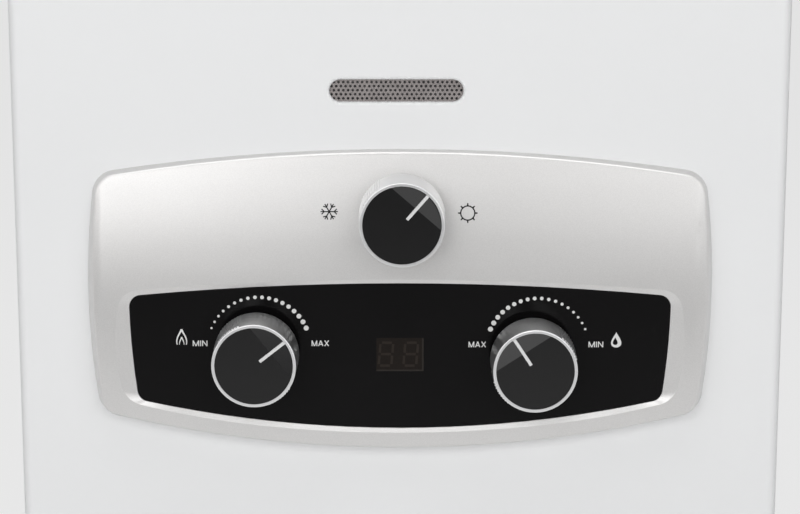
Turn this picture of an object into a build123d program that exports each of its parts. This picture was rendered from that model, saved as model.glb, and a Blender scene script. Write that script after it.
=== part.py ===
from build123d import *
import os
from math import cos, radians, sin

# Tankless gas water heater, hung on a wall, in millimetres.
# The wall is the plane Y = 0, the front faces -Y and +Z is up. The origin is the middle
# of the four wall-screw holes. A depth is a distance from the wall towards the front.

os.makedirs("parts", exist_ok=True)

# Casing
CASE_WIDTH = 330.0
CASE_HEIGHT = 550.0
CASE_DEPTH = 150.0
COVER_SHEET = 1.0
COVER_CORNER = 5.0
COVER_BEND = 4.0
PLATE_SHEET = 1.2
FLANGE_DEPTH = 14.0
SHEET_GAP = 0.3
RUNNING_FIT = 0.05
SLIP_FIT = 0.15

# Wall tabs, with their screw holes in the middle of each tab
TAB_WIDTH = 130.0
TAB_REACH = 30.0
TAB_CORNER = 8.0
WALL_HOLE_R = 3.5
WALL_HOLE_PITCH = 90.0

# Vents in the casing
SIDE_VENT_LENGTH = 60.0
SIDE_VENT_WIDTH = 4.0
SIDE_VENT_PITCH = 11.0
SIDE_VENT_COUNT = 7
SIDE_VENT_RISE = 75.0
FLOOR_VENT_LENGTH = 70.0
FLOOR_VENT_WIDTH = 4.0
FLOOR_VENT_PITCH = 9.0
FLOOR_VENT_COUNT = 3
FLOOR_VENT_X = 90.0
FLOOR_VENT_DEPTH = 42.0

# Viewing slot and the perforated strip behind it
SLOT_LENGTH = 56.7
SLOT_HEIGHT = 9.45
SLOT_SHIFT = -1.5
SLOT_RISE = 71.6
SLOT_LIP_DEPTH = 2.6
SLOT_LIP_WALL = 1.2
SLOT_LIP_ROUND = 1.5
MESH_SHEET = 0.5
MESH_MARGIN = 4.0
MESH_PITCH = 2.0
MESH_HOLE_R = 0.55
MESH_ROWS = 7
MESH_COLUMNS = 31

# Control panel: a barrel outline of four wide arcs round a datum level
PANEL_DATUM_RISE = 144.0
PANEL_TOP = 46.9
PANEL_BOTTOM = -84.8
PANEL_HALF_WIDTH = 134.0
PANEL_WAIST = -15.0
PANEL_TOP_ARC = 832.0
PANEL_BOTTOM_ARC = 518.0
PANEL_SIDE_ARC = 334.0
PANEL_CORNER = 11.0
PANEL_CROWN = 12.0
PANEL_CROWN_R = 440.0
PANEL_DRAFT = 16.0
PANEL_ROLL = 18.0
PANEL_ROLL_WIDTH = 8.6
PANEL_ROUND = 1.6
PANEL_WALL = 2.4
PANEL_BOSS_R = 4.0

# Display lens in the lower part of the panel
LENS_TOP = -9.45
LENS_BOTTOM = -72.95
LENS_HALF_WIDTH = 115.3
LENS_TOP_ARC = 1200.0
LENS_BOTTOM_ARC = 504.0
LENS_CORNER = 5.0
LENS_FRONT = 10.1
LENS_THICKNESS = 2.0
LENS_FLOOR = 2.0
LENS_EDGE_ROUND = 0.4
RECESS_SIDE = 2.7
RECESS_TOP = 2.1
RECESS_BOTTOM = 2.5
RECESS_BOTTOM_ARC = 352.0
RECESS_RISE = 0.75
RECESS_OVERCUT = 1.0

# Digit display and its circuit board
DIGIT_WIDTH = 20.2
DIGIT_HEIGHT = 15.6
DIGIT_LEVEL = -41.05
BOARD_WIDTH = 90.0
BOARD_HEIGHT = 30.0
BOARD_SHEET = 1.6
BOARD_SETBACK = 3.0
BOARD_POST_X = 36.0
BOARD_POST_R = 3.5
BOARD_WINDOW_MARGIN = 3.0

# Knobs: the three are alike, each at its own place on the panel and pointer angle
GAS_X = -60.9
GAS_LEVEL = -38.5
GAS_POINTER = 51.8
WATER_X = 56.4
WATER_LEVEL = -40.8
WATER_POINTER = -33.3
SELECTOR_X = 0.8
SELECTOR_LEVEL = 21.1
SELECTOR_POINTER = 41.0
KNOB_STANDOFF = 17.0
KNOB_LENGTH = 21.5
KNOB_R_BACK = 18.1
KNOB_R_FRONT = 17.65
KNOB_WALL = 2.0
KNOB_WEB = 2.5
KNOB_EDGE_ROUND = 0.4
RIB_R = 0.5
RIB_SINK = 0.15
RIB_COUNT = 9
RIB_SPAN = 34.0
RIB_END = 1.5
FACE_R = 16.3
FACE_POCKET = 3.2
FACE_INSET = 0.35
FACET_START = 9.0
FACET_DROP = 1.6
POINTER_WIDTH = 1.3
POINTER_START = 3.2
POINTER_DEPTH = 2.4
HUB_R = 7.0
HUB_REACH = 4.0
HUB_CLEARANCE = 2.5
SPINDLE_R = 3.0
SPINDLE_FLAT = 2.0
SPINDLE_END_GAP = 0.5

# Valve bodies behind the knobs
VALVE_SETBACK = 34.0
VALVE_LENGTH = 46.0
VALVE_FRONT_WALL = 8.0
NECK_R = 9.0
NECK_SETBACK = 5.0
GAS_BLOCK_WIDTH = 44.0
GAS_BLOCK_HEIGHT = 48.0
WATER_BLOCK_WIDTH = 38.0
WATER_BLOCK_HEIGHT = 42.0
PLUG_R = 11.0
PLUG_END_GAP = 0.4
PLUG_PORT_R = 5.0
SECTION_SETBACK = 8.0
SECTION_LENGTH = 42.0
SECTION_WIDTH = 36.0
SECTION_HEIGHT = 34.0
SECTION_PLUG_R = 9.0
SECTION_FRONT_WALL = 4.0
SECTION_NECK_SETBACK = 2.0
CAP_LIP = 4.0
CAP_THICKNESS = 3.0

# Gas shut-off solenoid on the side of the gas valve
SOLENOID_R = 14.0
SOLENOID_LENGTH = 34.0
SOLENOID_END = 2.0
PLUNGER_R = 4.0
PLUNGER_LENGTH = 27.0
PLUNGER_END_GAP = 0.3

# Threaded connections under the casing
NIPPLE_R = 10.48
NIPPLE_BORE_R = 7.0
NIPPLE_LENGTH = 20.0
NIPPLE_SHANK_R = 9.0
NIPPLE_HOLE_GAP = 1.5
HEX_R = 15.0
HEX_HEIGHT = 8.0
HEX_GAP = 0.5
HOT_NIPPLE_RISE = 32.0

# Pipes
PIPE_R = 6.35
PIPE_WALL = 0.8
PIPE_BEND = 12.0
FEED_R = 6.0
FEED_BEND = 14.0
COLD_RUN_RISE = 26.0
COLD_PIPE_MARGIN = 4.0
HOT_PIPE_MARGIN = 1.0
UNION_HEX_R = 12.0
UNION_LENGTH = 6.0

# Burner, fed by a manifold with one injector for each bar
BURNER_GAP = 5.0
BURNER_HEIGHT = 42.0
BURNER_SHEET = 1.2
BAR_PITCH = 19.0
BAR_SIDE_ROOM = 19.0
BAR_THICKNESS = 11.0
BAR_INSET = 12.0
BAR_ROUND = 8.0
BAR_INLET_R = 4.0
BAR_INLET_DEPTH = 30.0
RAIL_HEIGHT = 4.0
RAIL_WIDTH = 12.0
MANIFOLD_R = 8.0
MANIFOLD_BORE_R = 6.5
MANIFOLD_RISE = 14.0
MANIFOLD_GAP = 1.0
MANIFOLD_OVERHANG = 12.0
RISER_R = 6.5
RISER_BORE_R = 4.0
INJECTOR_R = 2.0
INJECTOR_HEAD_R = 4.0
INJECTOR_HEAD = 4.5
INJECTOR_NOZZLE = 4.0
BURNER_WINDOW_MARGIN = 4.0

# Combustion chamber with the finned heat exchanger in its upper end
CHAMBER_BACK = 18.0
CHAMBER_FRONT_ROOM = 24.0
CHAMBER_SIDE_ROOM = 60.0
CHAMBER_SHEET = 1.0
EXCHANGER_HEIGHT = 58.0
TUBE_R = 7.0
TUBE_WALL = 0.8
TUBE_PASSES = 5
TUBE_PITCH = 20.0
TUBE_OVERHANG = 7.0
FIN_PITCH = 7.4
FIN_SIDE_ROOM = 12.0
FIN_SHEET = 0.8
FIN_HEIGHT = 50.0
FIN_GAP = 0.4
WRAP_RISE = 36.0
WRAP_TOP_ROOM = 4.0
WRAP_GAP = 0.4
BRACKET_WIDTH = 150.0
BRACKET_HEIGHT = 20.0
LOWER_BRACKET_RISE = 4.0
UPPER_BRACKET_DROP = 4.0

# Flue
HOOD_SHEET = 1.0
HOOD_HEIGHT = 100.0
HOOD_SKIRT = 12.0
HOOD_TOP_GAP = 20.0
FLUE_R = 55.0
FLUE_SHEET = 1.0
FLUE_REACH = 45.0
FLUE_FLANGE = 13.0
FLUE_FLANGE_SHEET = 1.2
FLUE_SCREW_COUNT = 4
FLUE_SCREW_INSET = 4.5
FLUE_HOLE_GAP = 2.0
FLUE_SHOULDER = 1.5
NECK_OVERLAP = 10.0

# Flame probes and the overheat switch on the chamber's front wall
PROBE_R = 3.5
PROBE_COLLAR_R = 6.0
PROBE_COLLAR = 2.0
PROBE_OUT = 12.0
PROBE_IN = 8.0
PROBE_TIP_R = 1.0
PROBE_TIP = 22.0
PROBE_RISE = 12.0
PROBE_HOLE_GAP = 0.3
SWITCH_R = 8.0
SWITCH_HEIGHT = 6.0
SWITCH_EAR_WIDTH = 26.0
SWITCH_EAR_HEIGHT = 8.0
SWITCH_EAR_SHEET = 1.0
SWITCH_SIDE_ROOM = 45.0
SWITCH_DROP = 30.0

# Water pressure diaphragm, its push rod and the microswitch that the rod works
DISC_R = 25.0
DISC_THICKNESS = 8.0
DIAPHRAGM_SHEET = 1.6
CHAMBER_BORE_R = 18.0
CHAMBER_BORE_DEPTH = 5.0
ROD_R = 2.5
ROD_TIP_R = 1.0
ROD_TIP = 3.0
ROD_PLATE_R = 12.0
ROD_PLATE = 1.2
ROD_PLATE_GAP = 0.3
ROD_LENGTH = 24.0
GLAND_R = 7.0
GLAND_LENGTH = 12.0
DISC_SCREW_COUNT = 6
DISC_SCREW_INSET = 3.5
LEVER_GAP = 0.4
LEVER_SHEET = 0.6
LEVER_ARM = 18.0
LEVER_TAIL = 4.0
LEVER_WIDTH = 5.0
LEVER_BARREL_R = 1.8
LEVER_PIN_R = 0.8
MICROSWITCH_WIDTH = 20.0
MICROSWITCH_DEPTH = 8.0
MICROSWITCH_HEIGHT = 28.0
MICROSWITCH_GAP = 6.0
EAR_SHEET = 2.0
ARM_SHEET = 3.0

# Battery compartment with two cells, in the casing's floor
CELL_R = 16.6
CELL_LENGTH = 60.5
CELL_NUB_R = 4.5
CELL_NUB = 1.5
CELL_GAP = 0.8
CONTACT_SHEET = 0.5
CONTACT_WIDTH = 12.0
BATTERY_WALL = 1.8
BATTERY_FLANGE = 4.0
BATTERY_FLANGE_SHEET = 2.0
LID_SHEET = 2.0
LID_GAP = 1.4
LID_PLUG_WALL = 1.5
LID_PLUG_HEIGHT = 3.0
LID_PLUG_GAP = 0.8
LID_LIP = 5.0
HINGE_R = 2.4
HINGE_PIN_R = 1.2
HINGE_DROP = 3.0
HINGE_EAR_WIDTH = 5.0
HINGE_EAR_GAP = 0.4

# Pulse igniter on the back plate, and its two leads
IGNITER_WIDTH = 34.0
IGNITER_DEPTH = 40.0
IGNITER_HEIGHT = 100.0
IGNITER_SIDE_GAP = 4.0
IGNITER_ROUND = 3.0
LEAD_R = 1.75
LEAD_BEND = 4.0
SENSOR_LEAD_BEND = 3.0
LEAD_COVER_GAP = 5.0
LEAD_SPACING = 16.0

# Screws
COVER_SCREW_R = 2.0
COVER_SCREW_HEAD_R = 3.8
COVER_SCREW_HEAD = 2.4
COVER_SCREW_LENGTH = 8.0
COVER_SCREW_X = 110.0
PANEL_SCREW_R = 1.5
PANEL_SCREW_HEAD_R = 2.8
PANEL_SCREW_HEAD = 1.8
PANEL_SCREW_LENGTH = 4.5
PANEL_SCREW_X = (100.0, 124.5)
PANEL_SCREW_LEVEL = (24.0, -36.0)
SCREW_CROSS_WIDTH = 0.8
SCREW_CROSS_DEPTH = 1.0
SCREW_HOLE_GAP = 0.2

# Levels and depths that follow from the sizes above
CASE_TOP = CASE_HEIGHT / 2
CASE_FLOOR = -CASE_TOP
INNER_FLOOR = CASE_FLOOR + COVER_SHEET
INNER_FRONT = CASE_DEPTH - COVER_SHEET
PANEL_Z = CASE_FLOOR + PANEL_DATUM_RISE
DIGIT_Z = PANEL_Z + DIGIT_LEVEL
GAS_Z = PANEL_Z + GAS_LEVEL
WATER_Z = PANEL_Z + WATER_LEVEL
SELECTOR_Z = PANEL_Z + SELECTOR_LEVEL
LENS_FACE = CASE_DEPTH + LENS_FRONT
LENS_SEAT = LENS_FACE - LENS_THICKNESS
KNOB_BACK = CASE_DEPTH + KNOB_STANDOFF
KNOB_FACE = KNOB_BACK + KNOB_LENGTH
SPINDLE_BORE_END = KNOB_FACE - FACE_POCKET - KNOB_WEB
HUB_HOLE_R = HUB_R + HUB_CLEARANCE
COVER_SPINDLE_HOLE_R = max(HUB_HOLE_R, NECK_R + HUB_CLEARANCE)
VALVE_FRONT = CASE_DEPTH - VALVE_SETBACK
VALVE_BACK = VALVE_FRONT - VALVE_LENGTH
VALVE_MID = (VALVE_FRONT + VALVE_BACK) / 2
SECTION_FRONT = CASE_DEPTH - SECTION_SETBACK
SECTION_BACK = SECTION_FRONT - SECTION_LENGTH
SECTION_TOP = SELECTOR_Z + SECTION_HEIGHT / 2
FEED_DEPTH = (SECTION_BACK + VALVE_FRONT) / 2
BURNER_Z = SECTION_TOP + BURNER_GAP
CHAMBER_Z = BURNER_Z + BURNER_HEIGHT
HOOD_TOP = CASE_TOP - HOOD_TOP_GAP
HOOD_Z = HOOD_TOP - HOOD_HEIGHT
SKIRT_Z = HOOD_Z - HOOD_SKIRT
TUBE_Z = HOOD_Z - EXCHANGER_HEIGHT / 2
CHAMBER_WIDTH = CASE_WIDTH - 2 * CHAMBER_SIDE_ROOM
CHAMBER_DEPTH = INNER_FRONT - CHAMBER_FRONT_ROOM - CHAMBER_BACK
CHAMBER_FRONT = CHAMBER_BACK + CHAMBER_DEPTH
CHAMBER_MID = CHAMBER_BACK + CHAMBER_DEPTH / 2
MANIFOLD_DEPTH = CHAMBER_FRONT + MANIFOLD_GAP + MANIFOLD_R
MANIFOLD_Z = BURNER_Z + MANIFOLD_RISE
PROBE_Z = CHAMBER_Z + PROBE_RISE
TUBE_END = CHAMBER_WIDTH / 2 + TUBE_OVERHANG
HOT_X = -(TUBE_END + 2 * PIPE_BEND + HOT_PIPE_MARGIN)
HEX_TOP = CASE_FLOOR - HEX_GAP
HEX_BOTTOM = HEX_TOP - HEX_HEIGHT
NIPPLE_END = HEX_BOTTOM - NIPPLE_LENGTH
CELL_SPACING = 2 * CELL_R + CELL_GAP
BATTERY_INNER_WIDTH = 2 * CELL_SPACING
BATTERY_INNER_DEPTH = CELL_SPACING
BATTERY_WIDTH = BATTERY_INNER_WIDTH + 2 * BATTERY_WALL
BATTERY_DEPTH = BATTERY_INNER_DEPTH + 2 * BATTERY_WALL
BATTERY_REAR = VALVE_MID - BATTERY_DEPTH / 2
LID_TOP = CASE_FLOOR - LID_GAP
HINGE_Z = CASE_FLOOR - HINGE_DROP
HINGE_DEPTH = BATTERY_REAR + HINGE_R + HINGE_EAR_GAP
BAR_COUNT = int((CHAMBER_WIDTH - 2 * BAR_SIDE_ROOM) / BAR_PITCH) + 1
BAR_X = [(i - (BAR_COUNT - 1) / 2) * BAR_PITCH for i in range(BAR_COUNT)]
FIN_COUNT = int((CHAMBER_WIDTH - 2 * FIN_SIDE_ROOM) / FIN_PITCH) + 1


def at(x, depth, z):
    """A point by its X, its depth in front of the wall and its height."""
    return (x, -depth, z)


def facing(depth):
    """Plane parallel to the wall at a depth: its x is X, its y is Z, and it faces the front."""
    return Plane.XZ.offset(depth)


def level(z):
    """Horizontal plane at a height, facing up: its x is X and its y is Y."""
    return Plane.XY.offset(z)


def across(x):
    """Upright plane square to the wall at an X, facing +X: its x is Y and its y is Z."""
    return Plane.YZ.offset(x)


def casing_end(z, way):
    """Plane on the casing's top (way 1) or floor (way -1), facing out.

    Its y is depth, and its x is X on the floor and -X on the top."""
    return Plane(origin=(0, 0, z), x_dir=(-way, 0, 0), z_dir=(0, 0, way))


def barrel_outline(plane, sides, arcs, corner):
    """Barrel outline: the overlap of four wide discs, with its four corners rounded."""
    top, bottom, half_width = sides
    top_arc, bottom_arc, side_arc = arcs
    with BuildSketch(plane) as outline:
        with Locations((0, PANEL_Z + top - top_arc)):
            Circle(top_arc)
        with Locations((0, PANEL_Z + bottom + bottom_arc)):
            Circle(bottom_arc, mode=Mode.INTERSECT)
        with Locations((half_width - side_arc, PANEL_Z + PANEL_WAIST)):
            Circle(side_arc, mode=Mode.INTERSECT)
        with Locations((side_arc - half_width, PANEL_Z + PANEL_WAIST)):
            Circle(side_arc, mode=Mode.INTERSECT)
        fillet(outline.vertices(), corner)
    return outline.sketch


def panel_outline(plane, inset):
    """The control panel's outline, drawn in by an even inset."""
    sides = (PANEL_TOP - inset, PANEL_BOTTOM + inset, PANEL_HALF_WIDTH - inset)
    arcs = (PANEL_TOP_ARC - inset, PANEL_BOTTOM_ARC - inset, PANEL_SIDE_ARC - inset)
    return barrel_outline(plane, sides, arcs, PANEL_CORNER - inset)


def lens_outline(plane, top, bottom, side, bottom_arc=LENS_BOTTOM_ARC):
    """The display lens's outline, let out by a margin at its top, bottom and sides."""
    sides = (LENS_TOP + top, LENS_BOTTOM - bottom, LENS_HALF_WIDTH + side)
    side_arc = PANEL_SIDE_ARC - PANEL_HALF_WIDTH + LENS_HALF_WIDTH + side
    arcs = (LENS_TOP_ARC, bottom_arc, side_arc)
    return barrel_outline(plane, sides, arcs, LENS_CORNER + min(top, bottom, side))


def panel_crown(inset):
    """Drum whose rim is the panel's front: crowned from top to bottom and rolled off at both sides."""
    crown_z = PANEL_Z + (LENS_TOP + LENS_BOTTOM) / 2
    axis_y = PANEL_CROWN_R - PANEL_CROWN - CASE_DEPTH
    half_width = PANEL_HALF_WIDTH - PANEL_ROLL_WIDTH + PANEL_ROLL - inset
    with BuildPart() as drum:
        with BuildSketch(level(crown_z)) as profile:
            with Locations((0, axis_y)):
                Rectangle(2 * half_width, PANEL_CROWN_R - inset, align=(Align.CENTER, Align.MAX))
            fillet(profile.vertices().group_by(Axis.Y)[0], PANEL_ROLL - inset)
        revolve(axis=Axis((0, axis_y, crown_z), (1, 0, 0)))
    return drum.part


def pan_screws(seats, shank_r, head_r, head, length):
    """Cross-head screws: each seat is the plane under the heads and the points on it."""
    with BuildPart() as screws:
        for plane, points in seats:
            with BuildSketch(plane):
                with Locations(*points):
                    Circle(head_r)
            extrude(amount=head)
            with BuildSketch(plane):
                with Locations(*points):
                    Circle(shank_r)
            extrude(amount=-length)
            with BuildSketch(plane.offset(head)):
                with Locations(*points):
                    Rectangle(head_r, SCREW_CROSS_WIDTH)
                    Rectangle(SCREW_CROSS_WIDTH, head_r)
            extrude(amount=-SCREW_CROSS_DEPTH, mode=Mode.SUBTRACT)
    return screws


def pipe(points, bend, outer_r, bore_r):
    """Bent tube through the points, with every corner rounded to one bend radius."""
    with BuildPart() as tube:
        with BuildLine() as route:
            FilletPolyline(*points, radius=bend)
        with BuildSketch(Plane(origin=route.line @ 0, z_dir=route.line % 0)):
            Circle(outer_r)
            if bore_r > 0:
                Circle(bore_r, mode=Mode.SUBTRACT)
        sweep()
    return tube


# Back plate with its flange, wall tabs and the two brackets that carry the chamber
flange_width = CASE_WIDTH - 2 * (COVER_SHEET + SHEET_GAP)
flange_height = CASE_HEIGHT - 2 * (COVER_SHEET + SHEET_GAP)
flange_corner = COVER_CORNER - COVER_SHEET - SHEET_GAP
wall_hole_rise = CASE_TOP + TAB_REACH / 2
cover_screw_depth = PLATE_SHEET + FLANGE_DEPTH / 2
cover_screw_points = [(x, cover_screw_depth) for x in (-COVER_SCREW_X, COVER_SCREW_X)]
flue_screw_r = FLUE_R + FLUE_FLANGE - FLUE_SCREW_INSET
flue_screw_angles = [radians(360 * (i + 0.5) / FLUE_SCREW_COUNT) for i in range(FLUE_SCREW_COUNT)]
flue_screw_points = [
    (flue_screw_r * cos(angle), CHAMBER_MID + flue_screw_r * sin(angle)) for angle in flue_screw_angles
]
bracket_levels = (
    CHAMBER_Z + LOWER_BRACKET_RISE + BRACKET_HEIGHT / 2,
    SKIRT_Z - UPPER_BRACKET_DROP - BRACKET_HEIGHT / 2,
)
with BuildPart() as back_plate:
    with BuildSketch(facing(0)):
        RectangleRounded(CASE_WIDTH, CASE_HEIGHT, COVER_CORNER)
        RectangleRounded(TAB_WIDTH, CASE_HEIGHT + 2 * TAB_REACH, TAB_CORNER)
        with GridLocations(WALL_HOLE_PITCH, 2 * wall_hole_rise, 2, 2):
            Circle(WALL_HOLE_R, mode=Mode.SUBTRACT)
    extrude(amount=PLATE_SHEET)
    with BuildSketch(facing(PLATE_SHEET)):
        RectangleRounded(flange_width, flange_height, flange_corner)
        RectangleRounded(
            flange_width - 2 * PLATE_SHEET,
            flange_height - 2 * PLATE_SHEET,
            flange_corner - PLATE_SHEET,
            mode=Mode.SUBTRACT,
        )
    extrude(amount=FLANGE_DEPTH)
    with BuildSketch(facing(PLATE_SHEET)):
        with Locations(*[(0, z) for z in bracket_levels]):
            Rectangle(BRACKET_WIDTH, BRACKET_HEIGHT)
            Rectangle(BRACKET_WIDTH, BRACKET_HEIGHT - 2 * PLATE_SHEET, mode=Mode.SUBTRACT)
    extrude(amount=CHAMBER_BACK - PLATE_SHEET)
    with BuildSketch(facing(CHAMBER_BACK - PLATE_SHEET)):
        with Locations(*[(0, z) for z in bracket_levels]):
            Rectangle(BRACKET_WIDTH, BRACKET_HEIGHT)
    extrude(amount=PLATE_SHEET)
    with BuildSketch(casing_end(CASE_TOP, 1), casing_end(CASE_FLOOR, -1)):
        with Locations(*cover_screw_points):
            Circle(COVER_SCREW_R + SCREW_HOLE_GAP)
    extrude(amount=-COVER_SCREW_LENGTH, mode=Mode.SUBTRACT)

# Front cover: one folded sheet with the slot, panel, flue, pipe, battery and vent openings
slot_z = PANEL_Z + SLOT_RISE
panel_screw_points = [
    (side * x, PANEL_Z + rise) for x, rise in zip(PANEL_SCREW_X, PANEL_SCREW_LEVEL) for side in (-1, 1)
]
nipple_x = (GAS_X, WATER_X, HOT_X)
side_vent_z = CASE_FLOOR + SIDE_VENT_RISE
floor_vent_depths = [
    FLOOR_VENT_DEPTH + (i - (FLOOR_VENT_COUNT - 1) / 2) * FLOOR_VENT_PITCH for i in range(FLOOR_VENT_COUNT)
]
floor_vent_points = [(side * FLOOR_VENT_X, depth) for side in (-1, 1) for depth in floor_vent_depths]
with BuildPart() as front_cover:
    with BuildSketch(facing(PLATE_SHEET)):
        RectangleRounded(CASE_WIDTH, CASE_HEIGHT, COVER_CORNER)
    extrude(amount=CASE_DEPTH - PLATE_SHEET)
    fillet(front_cover.faces().sort_by(Axis.Y)[0].edges(), COVER_BEND)
    offset(amount=-COVER_SHEET, openings=front_cover.faces().sort_by(Axis.Y)[-1])
    with BuildSketch(facing(CASE_DEPTH)):
        with Locations((SLOT_SHIFT, slot_z)):
            SlotOverall(SLOT_LENGTH + 2 * SLOT_LIP_WALL, SLOT_HEIGHT + 2 * SLOT_LIP_WALL)
    extrude(amount=-SLOT_LIP_DEPTH)
    with BuildSketch(facing(CASE_DEPTH)):
        with Locations((SLOT_SHIFT, slot_z)):
            SlotOverall(SLOT_LENGTH, SLOT_HEIGHT)
    extrude(amount=-SLOT_LIP_DEPTH, mode=Mode.SUBTRACT)
    front_face = front_cover.faces().sort_by(Axis.Y)[0]
    fillet(front_face.inner_wires()[0].edges(), SLOT_LIP_ROUND)
    with BuildSketch(facing(INNER_FRONT)):
        with Locations((GAS_X, GAS_Z), (WATER_X, WATER_Z), (SELECTOR_X, SELECTOR_Z)):
            Circle(COVER_SPINDLE_HOLE_R)
        with Locations((0, DIGIT_Z)):
            Rectangle(BOARD_WIDTH + 2 * BOARD_WINDOW_MARGIN, BOARD_HEIGHT + 2 * BOARD_WINDOW_MARGIN)
        with Locations(*panel_screw_points):
            Circle(PANEL_SCREW_R + SCREW_HOLE_GAP)
    extrude(amount=COVER_SHEET, mode=Mode.SUBTRACT)
    with BuildSketch(casing_end(CASE_TOP, 1)):
        with Locations((0, CHAMBER_MID)):
            Circle(FLUE_R + FLUE_HOLE_GAP)
        with Locations(*cover_screw_points, *flue_screw_points):
            Circle(COVER_SCREW_R + SCREW_HOLE_GAP)
    extrude(amount=-COVER_SHEET, mode=Mode.SUBTRACT)
    with BuildSketch(casing_end(CASE_FLOOR, -1)):
        with Locations(*[(x, VALVE_MID) for x in nipple_x]):
            Circle(NIPPLE_SHANK_R + NIPPLE_HOLE_GAP)
        with Locations((0, VALVE_MID)):
            Rectangle(BATTERY_WIDTH + 2 * SLIP_FIT, BATTERY_DEPTH + 2 * SLIP_FIT)
        with Locations(*cover_screw_points):
            Circle(COVER_SCREW_R + SCREW_HOLE_GAP)
        with Locations(*floor_vent_points):
            SlotOverall(FLOOR_VENT_LENGTH, FLOOR_VENT_WIDTH)
    extrude(amount=-COVER_SHEET, mode=Mode.SUBTRACT)
    with BuildSketch(across(0)):
        with Locations((-CASE_DEPTH / 2, side_vent_z)):
            with GridLocations(0, SIDE_VENT_PITCH, 1, SIDE_VENT_COUNT):
                SlotOverall(SIDE_VENT_LENGTH, SIDE_VENT_WIDTH)
    extrude(amount=CASE_WIDTH / 2, both=True, mode=Mode.SUBTRACT)

# Perforated strip seated on the slot's inner lip
mesh_depth = CASE_DEPTH - SLOT_LIP_DEPTH
mesh_plane = Plane(origin=at(SLOT_SHIFT, mesh_depth, slot_z), x_dir=(0, 0, 1), z_dir=(0, -1, 0))
with BuildPart() as viewing_mesh:
    with BuildSketch(mesh_plane):
        Rectangle(SLOT_HEIGHT + 2 * MESH_MARGIN, SLOT_LENGTH + 2 * MESH_MARGIN)
        with HexLocations(MESH_PITCH / 2, MESH_ROWS, MESH_COLUMNS):
            Circle(MESH_HOLE_R, mode=Mode.SUBTRACT)
    extrude(amount=-MESH_SHEET)

# Casing screws: two in the top wall, two in the floor and four in the flue collar's flange
cover_screws = pan_screws(
    [
        (casing_end(CASE_TOP, 1), cover_screw_points),
        (casing_end(CASE_FLOOR, -1), cover_screw_points),
        (casing_end(CASE_TOP + FLUE_FLANGE_SHEET, 1), flue_screw_points),
    ],
    COVER_SCREW_R,
    COVER_SCREW_HEAD_R,
    COVER_SCREW_HEAD,
    COVER_SCREW_LENGTH,
)

# Control bezel: crowned, rolled off at the sides, and with a sloped recess round the lens seat
recess_mouth_rise = PANEL_CROWN - LENS_FRONT + RECESS_OVERCUT
mouth_share = recess_mouth_rise / RECESS_RISE
hub_holes = [(GAS_X, GAS_Z), (WATER_X, WATER_Z)]
board_posts = [(-BOARD_POST_X, DIGIT_Z), (BOARD_POST_X, DIGIT_Z)]
lens_floor_depth = LENS_SEAT - LENS_FLOOR
panel_face = panel_outline(facing(CASE_DEPTH), 0)
hollow_face = panel_outline(facing(CASE_DEPTH), PANEL_WALL)
lens_seat_face = lens_outline(facing(LENS_SEAT), SLIP_FIT, SLIP_FIT, SLIP_FIT)
recess_floor = lens_outline(facing(LENS_FACE), SLIP_FIT, SLIP_FIT, SLIP_FIT)
recess_mouth = lens_outline(
    facing(LENS_FACE + recess_mouth_rise),
    RECESS_TOP * mouth_share,
    RECESS_BOTTOM * mouth_share,
    RECESS_SIDE * mouth_share,
    RECESS_BOTTOM_ARC,
)
lens_backing = lens_outline(
    facing(lens_floor_depth),
    RECESS_TOP * mouth_share + PANEL_WALL,
    RECESS_BOTTOM + PANEL_WALL,
    RECESS_SIDE * mouth_share + PANEL_WALL,
)
with BuildPart() as panel_core:
    extrude(hollow_face, amount=PANEL_CROWN, taper=PANEL_DRAFT)
    add(panel_crown(PANEL_WALL), mode=Mode.INTERSECT)
    extrude(lens_backing, amount=PANEL_CROWN, mode=Mode.SUBTRACT)
    with BuildSketch(facing(CASE_DEPTH)):
        with Locations(*panel_screw_points):
            Circle(PANEL_BOSS_R)
    extrude(amount=PANEL_CROWN, mode=Mode.SUBTRACT)

with BuildPart() as control_bezel:
    extrude(panel_face, amount=PANEL_CROWN, taper=PANEL_DRAFT)
    add(panel_crown(0), mode=Mode.INTERSECT)
    front_edges = control_bezel.faces().sort_by(Axis.Y)[0].edges()
    fillet(front_edges.sort_by(Axis.Z)[-1], PANEL_ROUND)
    loft([recess_floor, recess_mouth], ruled=True, mode=Mode.SUBTRACT)
    extrude(lens_seat_face, amount=LENS_THICKNESS, mode=Mode.SUBTRACT)
    add(panel_core.part, mode=Mode.SUBTRACT)
    with BuildSketch(facing(CASE_DEPTH - BOARD_SETBACK)):
        with Locations(*board_posts):
            Circle(BOARD_POST_R)
    extrude(amount=BOARD_SETBACK + lens_floor_depth - CASE_DEPTH)
    with BuildSketch(facing(CASE_DEPTH)):
        with Locations(*panel_screw_points):
            Circle(PANEL_SCREW_R + RUNNING_FIT)
    extrude(amount=PANEL_SCREW_LENGTH - COVER_SHEET + SLIP_FIT, mode=Mode.SUBTRACT)
    with BuildSketch(facing(CASE_DEPTH - BOARD_SETBACK)):
        with Locations(*board_posts):
            Circle(PANEL_SCREW_R + RUNNING_FIT)
    extrude(amount=PANEL_SCREW_LENGTH - BOARD_SHEET + SLIP_FIT, mode=Mode.SUBTRACT)
    with BuildSketch(facing(CASE_DEPTH)):
        with Locations((SELECTOR_X, SELECTOR_Z), *hub_holes):
            Circle(HUB_HOLE_R)
        with Locations((0, DIGIT_Z)):
            Rectangle(DIGIT_WIDTH + 2 * SLIP_FIT, DIGIT_HEIGHT + 2 * SLIP_FIT)
    extrude(amount=2 * PANEL_CROWN, mode=Mode.SUBTRACT)

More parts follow.
